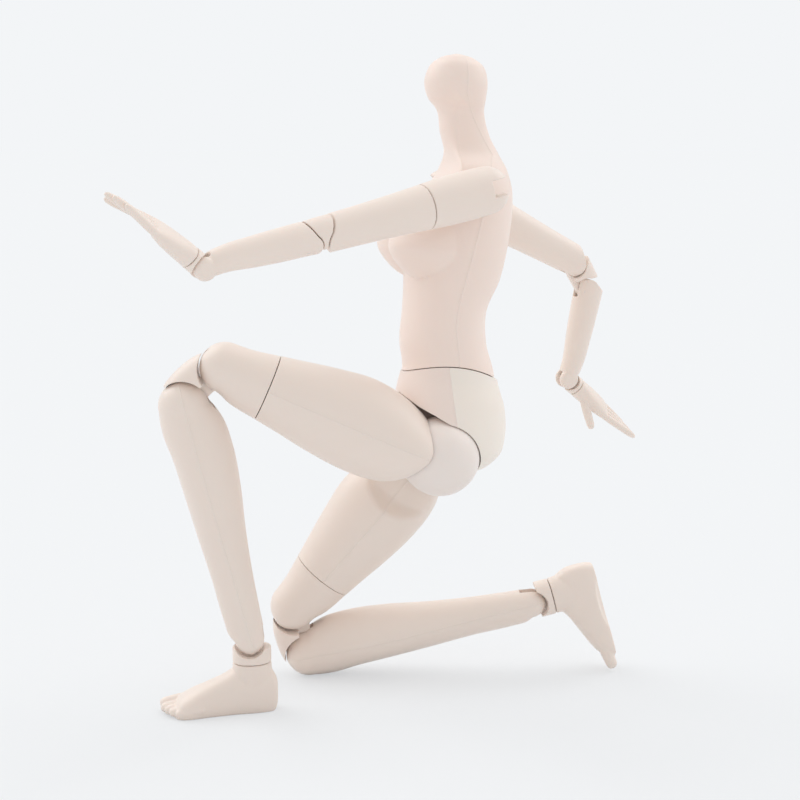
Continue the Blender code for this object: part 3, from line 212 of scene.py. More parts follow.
# Hand.
HAND_TURN = {"left": math.radians(20), "right": math.radians(150)}
HAND_LENGTH = 0.0256
HAND_SIZE_SHARE = 0.985
PALM_DEPTH = 0.0024
PALM_SIDE = 0.00415
PALM_SQUARE = 2.4
PALM_SHARES = (
    (0.0, 1.12, 1.12, 0.66), (0.08, 1.12, 1.10, 0.74), (0.20, 1.0, 1.02, 0.92), (0.38, 0.78, 0.84, 1.0),
    (0.47, 0.55, 0.60, 0.96), (0.50, 0.25, 0.3, 0.75),
)
FINGER_RADIUS = 0.00106
FINGER_ROUND_SHARES = (
    (-0.08, 0.9), (0.20, 1.0), (0.35, 1.0), (0.60, 0.94), (0.86, 0.84), (0.95, 0.66), (1.0, 0.30),
)
FINGER_PITCH = 0.0021
FINGER_LENGTH = 0.0138
FINGER_SHARES = (
    (0.89, math.radians(1.5), math.radians(7)), (1.0, math.radians(0.5), math.radians(2)),
    (0.93, math.radians(-0.5), math.radians(-1)), (0.76, math.radians(-2), math.radians(-4)),
)
THUMB_RADIUS = 0.0013
THUMB_LENGTH = 0.0082
# Each hand's thumb goes sideways and off the palm. Its fingers bend back and spread.
THUMB_SPLAY = {"left": math.radians(20), "right": math.radians(32)}
THUMB_LIFT = {"left": 0, "right": math.radians(-23)}
FINGER_BEND = {"left": math.radians(3), "right": 0}
CURL_SHARE = {"left": 1.7, "right": 1.0}
THUMB_START_SHARE = 0.17
THUMB_SIDE_SHARE = 0.70

# Leg.
THIGH_LENGTH = 0.06035
THIGH_CUT = 0.04833
THIGH_DEPTHS = (0.0129, 0.0122, 0.0121)
THIGH_SHARES = (
    (0.033, 0.11, 0.12, 0.30), (0.045, 0.28, 0.27, 0.70), (0.06, 0.41, 0.38, 0.86), (0.112, 0.68, 0.62, 0.98),
    (0.19, 0.90, 0.80, 1.02), (0.27, 0.985, 0.92, 1.0), (0.38, 1.0, 0.99, 0.975),
    (0.55, 0.92, 0.90, 0.89), (0.70, 0.80, 0.765, 0.785), (0.82, 0.715, 0.655, 0.69),
)
THIGH_SEAM = 0.0007
THIGH_CLEAR_RADIUS = 0.0176
THIGH_CLEAR_SPREAD = 0.0050
THIGH_CLEAR_EASE = 0.010
THIGH_CLEAR_SOFT_SHARE = 0.15
HIP_SPREAD = 0.01259
KNEE_SLEEVE_SHARES = ((0.79, 0.735, 0.68, 0.71), (0.93, 0.625, 0.56, 0.60))
KNEE_RADIUS = 0.0066
KNEE_HALF_WIDTH = 0.0070
KNEE_LINK = 0.01448
KNEE_PLATE = (0.0024, 0.0013)
KNEE_CAP = (0.0080, 0.0063)
KNEE_CAP_INNER = 0.0009
KNEE_CAP_BACK = 0.0002
KNEE_CAP_SQUARE = 2.6
KNEE_CAP_TOP = 0.0017
KNEE_CAP_BOTTOM = 0.0146
KNEE_CAP_SHARES = (
    (0.0, 0.84, 0.86), (0.20, 0.95, 0.97), (0.55, 1.0, 1.0), (0.85, 0.97, 0.97), (1.0, 0.92, 0.88),
)
SHIN_LENGTH = 0.0644
SHIN_DEPTHS = (0.0094, 0.0073, 0.0080)
SHIN_SHARES = (
    (0.03, 0.80, 0.95, 0.86), (0.09, 0.94, 0.98, 0.91), (0.20, 1.0, 0.89, 0.99),
    (0.36, 0.92, 0.84, 0.98), (0.54, 0.73, 0.79, 0.84), (0.72, 0.585, 0.73, 0.67),
    (0.90, 0.49, 0.72, 0.58), (0.965, 0.46, 0.68, 0.55),
)
SHIN_SEAM = 0.0006
ANKLE_RADIUS = 0.0040
ANKLE_HALF_WIDTH = 0.0044
ANKLE_PLATE = (0.0025, 0.0011)
ANKLE_SWIVEL = 0.00615
ANKLE_COLLAR = (0.0056, 0.0046, 0.0046)
ANKLE_COLLAR_TOP = 0.0021
ANKLE_COLLAR_SQUARE = 2.2
BARREL_SHARES = (
    (0.0, 1.0), (0.35, 0.995), (0.64, 0.97), (0.80, 0.91), (0.92, 0.79), (0.985, 0.66), (1.0, 0.52),
)

# Foot. Its rows end where the toes begin.
FOOT_TURN = {"left": math.radians(6.0), "right": math.radians(5.5)}
FOOT_HEIGHT = 0.01967
FOOT_TOE = 0.0240
FOOT_HEEL = 0.00713
FOOT_SIDE = 0.0056
FOOT_SQUARE = 2.6
FOOT_SHARES = (
    (0.0, 0.60, 0.28, 0.34), (0.012, 0.68, 0.18, 0.44), (0.03, 0.76, 0.09, 0.52), (0.06, 0.86, 0.0, 0.59),
    (0.16, 0.92, 0.0, 0.72), (0.345, 0.90, 0.0, 0.76), (0.44, 0.77, 0.0, 0.79),
    (0.60, 0.605, 0.0, 0.88), (0.74, 0.46, 0.0, 0.98), (0.80, 0.385, 0.0, 0.95), (0.84, 0.30, 0.02, 0.86),
    (0.87, 0.18, 0.06, 0.66),
)
FOOT_UNDERCUT_SHARE = 0.14
SOLE_LIFT = 0.00001
FOOT_NECK_SHARE = 0.62
FOOT_NECK_TAPER = (1.08, 1.06, 0.84)
# Toes from the big one: how far forward the tip is, how far inward it lies, and its radius.
TOES = (
    (0.0238, 0.0036, 0.00180), (0.0237, 0.0012, 0.00145), (0.0228, -0.0008, 0.00142),
    (0.0216, -0.0026, 0.00140), (0.0200, -0.0042, 0.00142),
)
TOE_LENGTH = 0.0070
TOE_DROP = math.radians(9)
# Hollows under the foot, inside and outside: middle back, inward and above the sole, then half sizes.
ARCHES = (
    ((-0.0035, 0.0058, -0.0008), (0.0095, 0.0038, 0.0026)),
    ((-0.0030, -0.0062, -0.0008), (0.0085, 0.0026, 0.0014)),
)


# Places of the joints.

def spot(joint):
    return Vector(JOINTS[joint]["pos_m"])


def axis(joint, sign=1):
    return sign * Vector(JOINTS[joint]["axis"]).normalized()


def local_frame(origin, x=None, y=None, z=None):
    """A right-handed frame from two of its axes. The last one given is kept exactly."""
    if x is None:
        x = y.cross(z).normalized()
        y = z.cross(x)
    elif y is None:
        y = z.cross(x).normalized()
        x = y.cross(z)
    else:
        z = x.cross(y).normalized()
    turn = Matrix((x.normalized(), y.normalized(), z.normalized())).transposed()
    return Matrix.Translation(origin) @ turn.to_4x4()


def shift(back=0.0, across=0.0, up=0.0):
    return Matrix.Translation(Vector((back, across, up)))


# Mesh making.

def mesh_object(name, points, faces):
    mesh = bpy.data.meshes.new(name)
    mesh.from_pydata([tuple(point) for point in points], [], faces)
    mesh.update()
    body = bpy.data.objects.new(name, mesh)
    bpy.context.scene.collection.objects.link(body)
    return body


def outward(body):
    """Turn the mesh's faces outward by the sign of its volume."""
    mesh = body.data
    mesh.calc_loop_triangles()
    volume = 0.0
    for triangle in mesh.loop_triangles:
        a, b, c = (mesh.vertices[index].co for index in triangle.vertices)
        volume += a.dot(b.cross(c))
    if volume < 0:
        mesh.flip_normals()
    return body


def skin(name, rings):
    """Close a stack of rings with the same number of points."""
    count = len(rings[0])
    points = np.concatenate(rings)
    faces = [tuple(range(count)), tuple(range(len(points) - 1, len(points) - count - 1, -1))]
    for level in range(len(rings) - 1):
        low = level * count
        for step in range(count):
            after = (step + 1) % count
            faces.append((low + step, low + count + step, low + count + after, low + after))
    return outward(mesh_object(name, points, faces))


def smooth_rows(rows, step=RING_STEP):
    """Rows on a smooth curve through the given ones, about a step apart."""
    rows = np.array(rows, float)
    spans = np.linalg.norm(np.diff(rows, axis=0), axis=1)
    knots = np.concatenate([[0], np.cumsum(spans)])
    slopes = np.gradient(rows, knots, axis=0)
    where = np.linspace(0, knots[-1], max(3, int(knots[-1] / step)))
    index = np.clip(np.searchsorted(knots, where, side="right") - 1, 0, len(rows) - 2)
    span = (knots[index + 1] - knots[index])[:, None]
    way = (where - knots[index])[:, None] / span
    first, second = rows[index], rows[index + 1]
    start = first * (1 + 2 * way) * (1 - way) ** 2 + slopes[index] * span * way * (1 - way) ** 2
    return start + second * way ** 2 * (3 - 2 * way) + slopes[index + 1] * span * way ** 2 * (way - 1)


def scaled(shares, length, depths, up=-1, start=0.0):
    """Section rows in metres: height, back, front, side."""
    return [(up * share * length + start, *(part * depth for part, depth in zip(parts, depths)))
            for share, *parts in shares]


def dome_rows(radius, half_width, centre, upward):
    """Section rows of a rounded end, from its tip to the pivot's height."""
    rows = []
    sign = 1 if upward else -1
    for step in range(1, DOME_STEPS + 1):
        turn = math.pi / 2 * (1 - step / DOME_STEPS)
        rise = math.sin(turn)
        width = half_width * (1 - rise ** 3 * DOME_NARROWING) * math.cos(turn) ** DOME_FULLNESS
        rows.append((centre + sign * radius * rise, radius * math.cos(turn), radius * math.cos(turn), width))
    return rows


def section(row, turns, square):
    height, back, front, side, *middle = row
    cosine, sine = np.cos(turns), np.sin(turns)
    along = np.sign(cosine) * np.abs(cosine) ** (2 / square) * np.where(cosine > 0, back, front)
    across = np.sign(sine) * np.abs(sine) ** (2 / square) * side
    return np.stack([along + sum(middle), across, np.full(len(turns), height)], axis=1)


def tube(name, rows, sides=LIMB_SIDES, square=2.0, shape=None):
    """A whole moulding from its section rows."""
    turns = math.tau * (np.arange(sides) + 0.5) / sides
    rings = [section(row, turns, square) for row in rows]
    if shape:
        rings = [shape(ring) for ring in rings]
    return skin(name, rings)


def halves(rows, seam, names, sides=LIMB_SIDES, square=2.0, shape=None):
    """The front and the back moulding of a limb, with a fine ridge along their parting line.

    seam gives how far back the line lies at a height.
    """
    made = []
    for name, sign in zip(names, (-1, 1)):
        rings = []
        for row in rows:
            height, back, front, side = row
            edge = seam(height) + sign * PARTING_GAP
            depth = back if edge > 0 else front
            share = min(0.999, abs(edge) / max(depth, TINY)) ** (square / 2)
            turn = math.acos(share) if edge > 0 else math.pi - math.acos(share)
            ease = min(RIDGE_HALF_WIDTH / max(side, 1e-4), math.pi / 8)
            if sign < 0:
                turns = np.linspace(turn + ease, math.tau - turn - ease, sides // 2)
                ends = (turn, math.tau - turn)
            else:
                turns = np.linspace(-turn + ease, turn - ease, sides // 2)
                ends = (-turn, turn)
            turns = np.concatenate([ends[:1], turns, ends[1:]])
            ring = section(row, turns, square)
            if shape:
                ring = shape(ring)
            ridge = min(RIDGE_HEIGHT, side / 4)
            for end in (0, -1):
                ring[end, 0] = edge
                ring[end, 1] += math.copysign(ridge, ring[end, 1])
            rings.append(ring)
        made.append(skin(name, rings))
    return made


def turned(name, profile, place, along="Z", sides=LIMB_SIDES):
    """A solid turned about an axis, from rows of distance along it and radius."""
    turns = math.tau * (np.arange(sides) + 0.5) / sides
    rings = [np.stack([radius * np.cos(turns), radius * np.sin(turns), np.full(sides, far)], 1)
             for far, radius in profile]
    body = skin(name, rings)
    swing = {"X": Matrix.Rotation(math.pi / 2, 4, "Y"), "Y": Matrix.Rotation(-math.pi / 2, 4, "X")}
    body.data.transform(place @ swing.get(along, Matrix()))
    return body


def rod(name, radius, start, end, place, along="Z", sides=SMALL_SIDES):
    return turned(name, ((start, radius), (end, radius)), place, along, sides)


def barrel(name, radius, half_width, place, grow=0.0):
    rows = [(share * (half_width + grow), size * radius + grow) for share, size in BARREL_SHARES]
    rows = [(-far, size) for far, size in rows[:0:-1]] + rows
    return turned(name, rows, place, "Y")


def ball(name, radius, place, sides=LIMB_SIDES):
    levels = sides // 2
    rows = []
    for level in range(levels):
        turn = math.pi * (level + 0.5) / levels
        rows.append((-radius * math.cos(turn), radius * math.sin(turn)))
    return turned(name, rows, place, "Z", sides)


def block(name, low, high, place):
    corners = ((low[0], low[1]), (high[0], low[1]), (high[0], high[1]), (low[0], high[1]))
    rings = [np.array([(*corner, height) for corner in corners]) for height in (low[2], high[2])]
    body = skin(name, rings)
    body.data.transform(place)
    return body


def prism(name, outline, low, high, place):
    rings = [np.array([(back, across, up) for back, up in outline]) for across in (low, high)]
    body = skin(name, rings)
    body.data.transform(place)
    return body


def plate(name, size, reach, place):
    """A link plate with round ends at its own joint and at the joint below."""
    radius, half = size
    outline = []
    for centre, begin in ((0, 0), (-reach, math.pi)):
        for step in range(DOME_STEPS * 2 + 1):
            turn = begin + math.pi * step / (DOME_STEPS * 2)
            outline.append((radius * math.cos(turn), centre + radius * math.sin(turn)))
    return prism(name, outline, -half, half, place)


def evaluated(body):
    """Put the modifiers' result in the mesh."""
    bpy.context.view_layer.update()
    before = body.data
    after = bpy.data.meshes.new_from_object(body.evaluated_get(bpy.context.evaluated_depsgraph_get()))
    body.modifiers.clear()
    body.data = after
    bpy.data.meshes.remove(before)
    return body


def combine(body, tools, how):
    for tool in tools:
        change = body.modifiers.new(how, "BOOLEAN")
        change.operation = how
        change.solver = "MANIFOLD"
        change.object = tool
        evaluated(body)
        bpy.data.objects.remove(tool, do_unlink=True)
    return body


def cut(body, *tools):
    return combine(body, tools, "DIFFERENCE")


def join(body, *tools):
    return combine(body, tools, "UNION")


def keep(body, *tools):
    return combine(body, tools, "INTERSECT")


def softened(body, voxel, rounds):
    """One even skin over joined shapes, with their meeting lines smoothed."""
    remesh = body.modifiers.new("even", "REMESH")
    remesh.mode = "VOXEL"
    remesh.voxel_size = voxel
    smooth = body.modifiers.new("soft", "SMOOTH")
    smooth.factor = 0.5
    smooth.iterations = rounds
    return evaluated(body)


def soft_least(value, limit, softness):
    """The lesser of two sizes, with their meeting rounded."""
    share = np.clip(0.5 + 0.5 * (limit - value) / softness, 0, 1)
    return limit * (1 - share) + value * share - softness * share * (1 - share)


# Materials.

def plastic(name, colour, shade, roughness, glow=0.0):
    """Moulded plastic: colour that wanders softly, a fine surface grain and slightly uneven gloss."""
    material = bpy.data.materials.new(f"{name}_look")
    material.use_nodes = True
    nodes, links = material.node_tree.nodes, material.node_tree.links
    shader = nodes["Principled BSDF"]
    coordinates = nodes.new("ShaderNodeTexCoord")
    cloud = nodes.new("ShaderNodeTexNoise")
    cloud.inputs["Scale"].default_value = CLOUD_SCALE
    cloud.inputs["Detail"].default_value = CLOUD_DETAIL
    links.new(coordinates.outputs["Object"], cloud.inputs["Vector"])
    mix = nodes.new("ShaderNodeMix")
    mix.data_type = "RGBA"
    mix.inputs["A"].default_value = (*colour, 1)
    mix.inputs["B"].default_value = (*shade, 1)
    links.new(cloud.outputs["Fac"], mix.inputs["Factor"])
    links.new(mix.outputs["Result"], shader.inputs["Base Color"])
    grain = nodes.new("ShaderNodeTexNoise")
    grain.inputs["Scale"].default_value = GRAIN_SCALE
    grain.inputs["Detail"].default_value = GRAIN_DETAIL
    links.new(coordinates.outputs["Object"], grain.inputs["Vector"])
    gloss = nodes.new("ShaderNodeMapRange")
    gloss.inputs["To Min"].default_value = roughness - GLOSS_BELOW
    gloss.inputs["To Max"].default_value = roughness + GLOSS_ABOVE
    links.new(cloud.outputs["Fac"], gloss.inputs["Value"])
    links.new(gloss.outputs["Result"], shader.inputs["Roughness"])
    bump = nodes.new("ShaderNodeBump")
    bump.inputs["Strength"].default_value = GRAIN_STRENGTH
    bump.inputs["Distance"].default_value = GRAIN_DEPTH
    links.new(grain.outputs["Fac"], bump.inputs["Height"])
    links.new(bump.outputs["Normal"], shader.inputs["Normal"])
    shader.inputs["Subsurface Weight"].default_value = glow
    shader.inputs["Subsurface Radius"].default_value = GLOW_COLOURS
    shader.inputs["Subsurface Scale"].default_value = GLOW_REACH
    shader.inputs["Specular IOR Level"].default_value = SPECULAR_LEVEL
    shader.inputs["Sheen Weight"].default_value = SHEEN
    shader.inputs["Sheen Roughness"].default_value = SHEEN_ROUGHNESS
    return material


VINYL, PELVIS_FRONT, PELVIS_BACK = "body_vinyl", "pelvis_front_plastic", "pelvis_back_plastic"
LIMB, JOINT, PIN = "limb_plastic", "joint_plastic", "pin_plastic"
LOOKS = {
    VINYL: plastic(VINYL, (0.92, 0.775, 0.70), (0.90, 0.75, 0.67), 0.46, 0.06),
    PELVIS_FRONT: plastic(PELVIS_FRONT, (0.89, 0.765, 0.70), (0.87, 0.74, 0.67), 0.42, 0.05),
    PELVIS_BACK: plastic(PELVIS_BACK, (0.91, 0.84, 0.765), (0.89, 0.81, 0.73), 0.40, 0.05),
    LIMB: plastic(LIMB, (0.88, 0.775, 0.70), (0.86, 0.745, 0.67), 0.40, 0.05),
    JOINT: plastic(JOINT, (0.88, 0.80, 0.755), (0.86, 0.775, 0.72), 0.38, 0.05),
    PIN: plastic(PIN, (0.80, 0.74, 0.70), (0.76, 0.70, 0.66), 0.35, 0.0),
}


def dress(body, name, rider, slot, *nodes, angle=SHARP_ANGLE):
    """Name a finished piece, shade it, ride it on its body and let it stand for CAD nodes."""
    body.name = name
    body.data.name = name
    body.data.materials.clear()
    body.data.materials.append(LOOKS[slot])
    for face in body.data.polygons:
        face.material_index = 0
    body.data.shade_smooth()
    body.data.set_sharp_from_angle(angle=math.radians(angle))
    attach(body, rider)
    if nodes:
        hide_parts(*nodes)
    return body


# Pelvis and waist.

PELVIS = local_frame((spot("left_hip_swing") + spot("right_hip_swing")) / 2, y=axis("left_hip_swing"),
                     z=spot("waist_bend") - (spot("left_hip_swing") + spot("right_hip_swing")) / 2)
WAIST = local_frame(spot("waist_bend"), y=axis("waist_bend"), z=axis("torso_twist"))
TORSO = local_frame(spot("torso_twist"), y=axis("left_shoulder_swing"), z=axis("torso_twist"))


def waist_arch(radius):
    """The rounded body below the arched waist cut."""
    place = WAIST @ shift(WAIST_ARCH_BACK, 0, WAIST_ARCH_TOP - WAIST_ARCH_RADIUS)
    reach = 2 * PELVIS_DEPTHS[2]
    return rod("arch", radius, -reach, reach, place, "Y", 3 * BODY_SIDES)


def make_pelvis():
    rows = smooth_rows(scaled(PELVIS_SHARES, PELVIS_HEIGHT, PELVIS_DEPTHS, 1))
    names = ("pelvis_shell_front", "pelvis_shell_back")
    pair = halves(rows, lambda up: PELVIS_SEAM + PELVIS_SEAM_SLOPE * up, names, BODY_SIDES)
    outline = [(back * HIP_BALL_RADIUS, up * HIP_BALL_RADIUS) for back, up in OPENING_SHARES]
    for body, slot, node in zip(pair, (PELVIS_FRONT, PELVIS_BACK), ("pelvis_front", "pelvis_back")):
        body.data.transform(PELVIS)
        keep(body, waist_arch(WAIST_ARCH_RADIUS - WAIST_GAP / 2))
        for _, side in SIDES:
            socket = PELVIS @ shift(0, side * HIP_SPREAD, 0)
            cut(body, ball("socket", HIP_BALL_RADIUS + SOCKET_GAP, socket))
            edges = sorted((side * CROTCH_HALF_WIDTH, side * OPENING_REACH))
            cut(body, prism("opening", outline, *edges, PELVIS))
        dress(body, body.name, "pelvis", slot, node)
    bridge = barrel("pelvis_bridge", CROTCH_RADIUS, CROTCH_HALF_WIDTH, PELVIS)
    for _, side in SIDES:
        cut(bridge, ball("socket", HIP_BALL_RADIUS + SOCKET_GAP, PELVIS @ shift(0, side * HIP_SPREAD, 0)))
    dress(bridge, "pelvis_bridge", "pelvis", PELVIS_BACK)


def torso_parting(up):
    where = up / SHOULDER_PLACE[2]
    ups, backs = zip(*PARTING_SHARES)
    return float(np.interp(where, ups, backs)) * TORSO_DEPTHS[0]


def torso_shape(ring):
    """Raise both breasts out of the chest: full below with a crease, and easing away above and aside."""
    rise = ring[:, 2] - BUST_UP
    turns = np.arctan2(ring[:, 1], ring[:, 0])
    height = np.where(rise > 0, rise / BUST_ABOVE, rise / BUST_BELOW)
    crease = np.clip(-height, 0, 1)
    lift = np.zeros(len(ring))
    for _, side in SIDES:
        apart = np.abs((turns - side * BUST_TURN + math.pi) % math.tau - math.pi) / BUST_SPAN
        inside = np.clip(1 - apart ** 2 - height ** 2, 0, 1)
        lift = np.maximum(lift, inside ** (BUST_EASE - BUST_CREASE_EASE * crease))
    ring = ring.copy()
    flat = np.linalg.norm(ring[:, :2], axis=1)
    ring[:, :2] *= (1 + BUST_RISE * lift / np.maximum(flat, TINY))[:, None]
    return ring


def make_torso():
    rows = smooth_rows(scaled(TORSO_SHARES, TORSO_HEIGHT, TORSO_DEPTHS, 1))
    names = ("torso_shell_front", "torso_shell_back")
    pair = halves(rows, torso_parting, names, BODY_SIDES, shape=torso_shape)
    for body, node in zip(pair, ("torso_front", "torso_back")):
        body.data.transform(TORSO)
        cut(body, waist_arch(WAIST_ARCH_RADIUS + WAIST_GAP / 2))
        for _, side in SIDES:
            centre = TORSO @ shift(SHOULDER_PLACE[0], 0, SHOULDER_PLACE[2])
            edges = sorted((side * ARMHOLE_SPREAD, side * 2 * SHOULDER_PLACE[1]))
            cut(body, rod("armhole", ARMHOLE_RADIUS, *edges, centre, "Y"))
        dress(body, body.name, "torso", VINYL, node)


# Arms.

def make_arm(label, side):
    swing, raised = f"{label}_shoulder_swing", f"{label}_shoulder_raise"
    twist = f"{label}_arm_twist"
    sleeve_at = local_frame(spot(raised), x=axis(raised, side), z=axis(twist))
    end = SLEEVE_LENGTH - CUT_GAP / 2
    dome = SLEEVE_RADIUS * SLEEVE_DOME_SHARE
    rows = dome_rows(dome, dome, 0, True)
    rows = [(high, back, front, back) for high, back, front, _ in rows]
    rows += scaled(SLEEVE_SHARES[1:], end, (SLEEVE_RADIUS,) * 3)
    sleeve = tube("sleeve", smooth_rows(rows))
    room, top = SHOULDER_SLOT_ROOM, 2 * SLEEVE_RADIUS
    inner = sorted((-side * top, side * room))
    low, high = (-SHOULDER_SLOT_HALF, inner[0], -room), (SHOULDER_SLOT_HALF, inner[1], top)
    outer = sorted((0, side * top))
    notch = (-SHOULDER_NOTCH_HALF, outer[0], SHOULDER_NOTCH_UP), (SHOULDER_NOTCH_HALF, outer[1], top)
    sleeve.data.transform(sleeve_at)
    cut(sleeve, block("slot", low, high, sleeve_at))
    cut(sleeve, block("notch", *notch, sleeve_at))
    softened(sleeve, SMALL_VOXEL, LIMB_ROUNDS)
    name = f"{label}_shoulder_sleeve"
    dress(sleeve, f"{name}_skin", name, LIMB, name)

    arm_at = local_frame(spot(twist), y=axis(f"{label}_elbow_upper"), z=axis(twist))
    arm = tube("upper_arm", arm_rows(UPPER_ARM_SHARES, UPPER_ARM_LENGTH, UPPER_ARM_DEPTH, -CUT_GAP / 2))
    arm.data.transform(arm_at)
    elbow = arm_at @ shift(-ELBOW_FORWARD, 0, -UPPER_ARM_LENGTH)
    keep(arm, elbow_room(ELBOW_RADIUS, False, elbow))
    cut(arm, slot_block(ELBOW_PLATE, elbow, False, back=ELBOW_PLATE[0] + 2 * PLATE_GAP))
    softened(arm, SMALL_VOXEL, LIMB_ROUNDS)
    dress(arm, f"{label}_upper_arm_skin", f"{label}_upper_arm", LIMB, f"{label}_upper_arm")

    upper, lower = spot(f"{label}_elbow_upper"), spot(f"{label}_elbow_lower")
    elbow_at = local_frame(upper, y=axis(f"{label}_elbow_upper"), z=(upper - lower).normalized())
    rows = [(-share * ELBOW_LINK, *(size * part for part in ELBOW_CAP), ELBOW_FORWARD)
            for share, size in ELBOW_CAP_SHARES]
    cap = tube("cap", smooth_rows(rows), SMALL_SIDES)
    cap.data.transform(elbow_at)
    reach = 2 * ELBOW_LINK
    cut(cap, block("inner", (-reach, -reach, -reach), (-ELBOW_CAP_FRONT, reach, reach), elbow_at))
    below = elbow_at @ shift(0, 0, -ELBOW_LINK)
    seat = ELBOW_RADIUS + ELBOW_CAP_GAP
    cut(cap, elbow_room(seat, False, elbow_at, ELBOW_CAP_STOP))
    cut(cap, elbow_room(seat, True, below, -ELBOW_CAP_STOP))
    join(cap, plate("link", ELBOW_PLATE, ELBOW_LINK, elbow_at))
    softened(cap, SMALL_VOXEL, LIMB_ROUNDS)
    dress(cap, f"{label}_elbow_block", f"{label}_elbow_joint", LIMB, f"{label}_elbow_joint")

    wrist = spot(f"{label}_wrist_bend")
    forearm_at = local_frame(lower, y=axis(f"{label}_elbow_lower"), z=(lower - wrist).normalized())
    forearm = tube("forearm", arm_rows(FOREARM_SHARES, FOREARM_LENGTH, FOREARM_DEPTH))
    forearm.data.transform(forearm_at)
    keep(forearm, elbow_room(ELBOW_RADIUS, True, forearm_at))
    end_at = forearm_at @ shift(0, 0, -FOREARM_LENGTH)
    join(forearm, barrel("end", WRIST_RADIUS, WRIST_HALF_WIDTH, end_at))
    cut(forearm, slot_block(ELBOW_PLATE, forearm_at, True, back=ELBOW_PLATE[0] + 2 * PLATE_GAP))
    cut(forearm, slot_block(WRIST_PLATE, end_at, False))
    softened(forearm, SMALL_VOXEL, LIMB_ROUNDS)
    dress(forearm, f"{label}_forearm_skin", f"{label}_forearm", LIMB, f"{label}_forearm")

    wrist_at = local_frame(wrist, y=axis(f"{label}_wrist_bend"), z=axis(f"{label}_hand_turn"))
    collar = rod("collar", WRIST_COLLAR_RADIUS, -WRIST_SWIVEL + CUT_GAP / 2, -WRIST_COLLAR_TOP, wrist_at)
    cut(collar, rod("seat", WRIST_RADIUS + SOCKET_GAP, -HAND_LENGTH, HAND_LENGTH, wrist_at, "Y"))
    join(collar, plate("tongue", WRIST_PLATE, WRIST_SWIVEL - WRIST_PLATE[0] - 3 * CUT_GAP, wrist_at))
    softened(collar, HAND_VOXEL, COLLAR_ROUNDS)
    dress(collar, f"{label}_wrist_collar", f"{label}_wrist_joint", LIMB, f"{label}_wrist_joint")
    make_hand(label, side, wrist_at @ shift(0, 0, -WRIST_SWIVEL) @ Matrix.Rotation(HAND_TURN[label], 4, "Z"))


def arm_rows(shares, length, depth, start=0.0):
    return smooth_rows(scaled(shares, length, (depth,) * 4, -1, start))


def elbow_room(radius, upward, place, turn=0.0):
    """A limb end at the elbow seen from the side: round towards the bend and slanted behind as a stop."""
    way = 1 if upward else -1
    outline = []
    for angle in np.linspace(math.pi, ELBOW_ROUND_END, 2 * DOME_STEPS):
        outline.append((radius * math.cos(angle), way * radius * math.sin(angle)))
    outline.append((ELBOW_SLANT_END[0] * radius, way * ELBOW_SLANT_END[1] * radius))
    reach = 2 * FOREARM_LENGTH
    outline += [(outline[-1][0], -way * reach), (outline[0][0], -way * reach)]
    return prism("room", outline, -reach, reach, place @ Matrix.Rotation(turn, 4, "Y"))


def slot_block(size, place, upward, front=CUT_REACH, back=CUT_REACH):
    """Room for a link plate, up to a wall in front of or behind it."""
    radius, half = size
    low = -radius - PLATE_GAP if upward else -CUT_REACH
    high = CUT_REACH if upward else radius + PLATE_GAP
    return block("slot", (-front, -half - PLATE_GAP, low), (back, half + PLATE_GAP, high), place)


def finger(radius, length, place):
    rows = [(-down * length, *(3 * (size * radius,))) for down, size in FINGER_ROUND_SHARES]
    body = tube("finger", smooth_rows(rows, FINGER_STEP), FINGER_SIDES)
    body.data.transform(place)
    return body


def make_hand(label, side, place):
    rows = scaled(PALM_SHARES, HAND_LENGTH, (PALM_DEPTH, PALM_DEPTH, PALM_SIDE), -1, -CUT_GAP / 2)
    hand = tube("hand", smooth_rows(rows), SMALL_SIDES, PALM_SQUARE)
    root = HAND_LENGTH - FINGER_LENGTH
    middle = (len(FINGER_SHARES) - 1) / 2
    for index, (length_share, fan, curl) in enumerate(FINGER_SHARES):
        across = side * (middle - index) * FINGER_PITCH
        bend = CURL_SHARE[label] * curl + FINGER_BEND[label]
        turn = Matrix.Rotation(side * fan, 4, "X") @ Matrix.Rotation(bend, 4, "Y")
        join(hand, finger(FINGER_RADIUS, length_share * FINGER_LENGTH, shift(0, across, -root) @ turn))
    splay = Matrix.Rotation(side * THUMB_SPLAY[label], 4, "X")
    splay = splay @ Matrix.Rotation(THUMB_LIFT[label], 4, "Y")
    lift = FINGER_RADIUS if THUMB_LIFT[label] else -FINGER_RADIUS
    base = shift(lift, side * THUMB_SIDE_SHARE * PALM_SIDE, -THUMB_START_SHARE * HAND_LENGTH)
    join(hand, finger(THUMB_RADIUS, THUMB_LENGTH, base @ splay))
    softened(hand, HAND_VOXEL, HAND_ROUNDS)
    hand.data.transform(place @ Matrix.Scale(HAND_SIZE_SHARE, 4))
    dress(hand, f"{label}_hand_skin", f"{label}_hand", LIMB, f"{label}_hand", angle=SMOOTH_ANGLE)


# Legs.

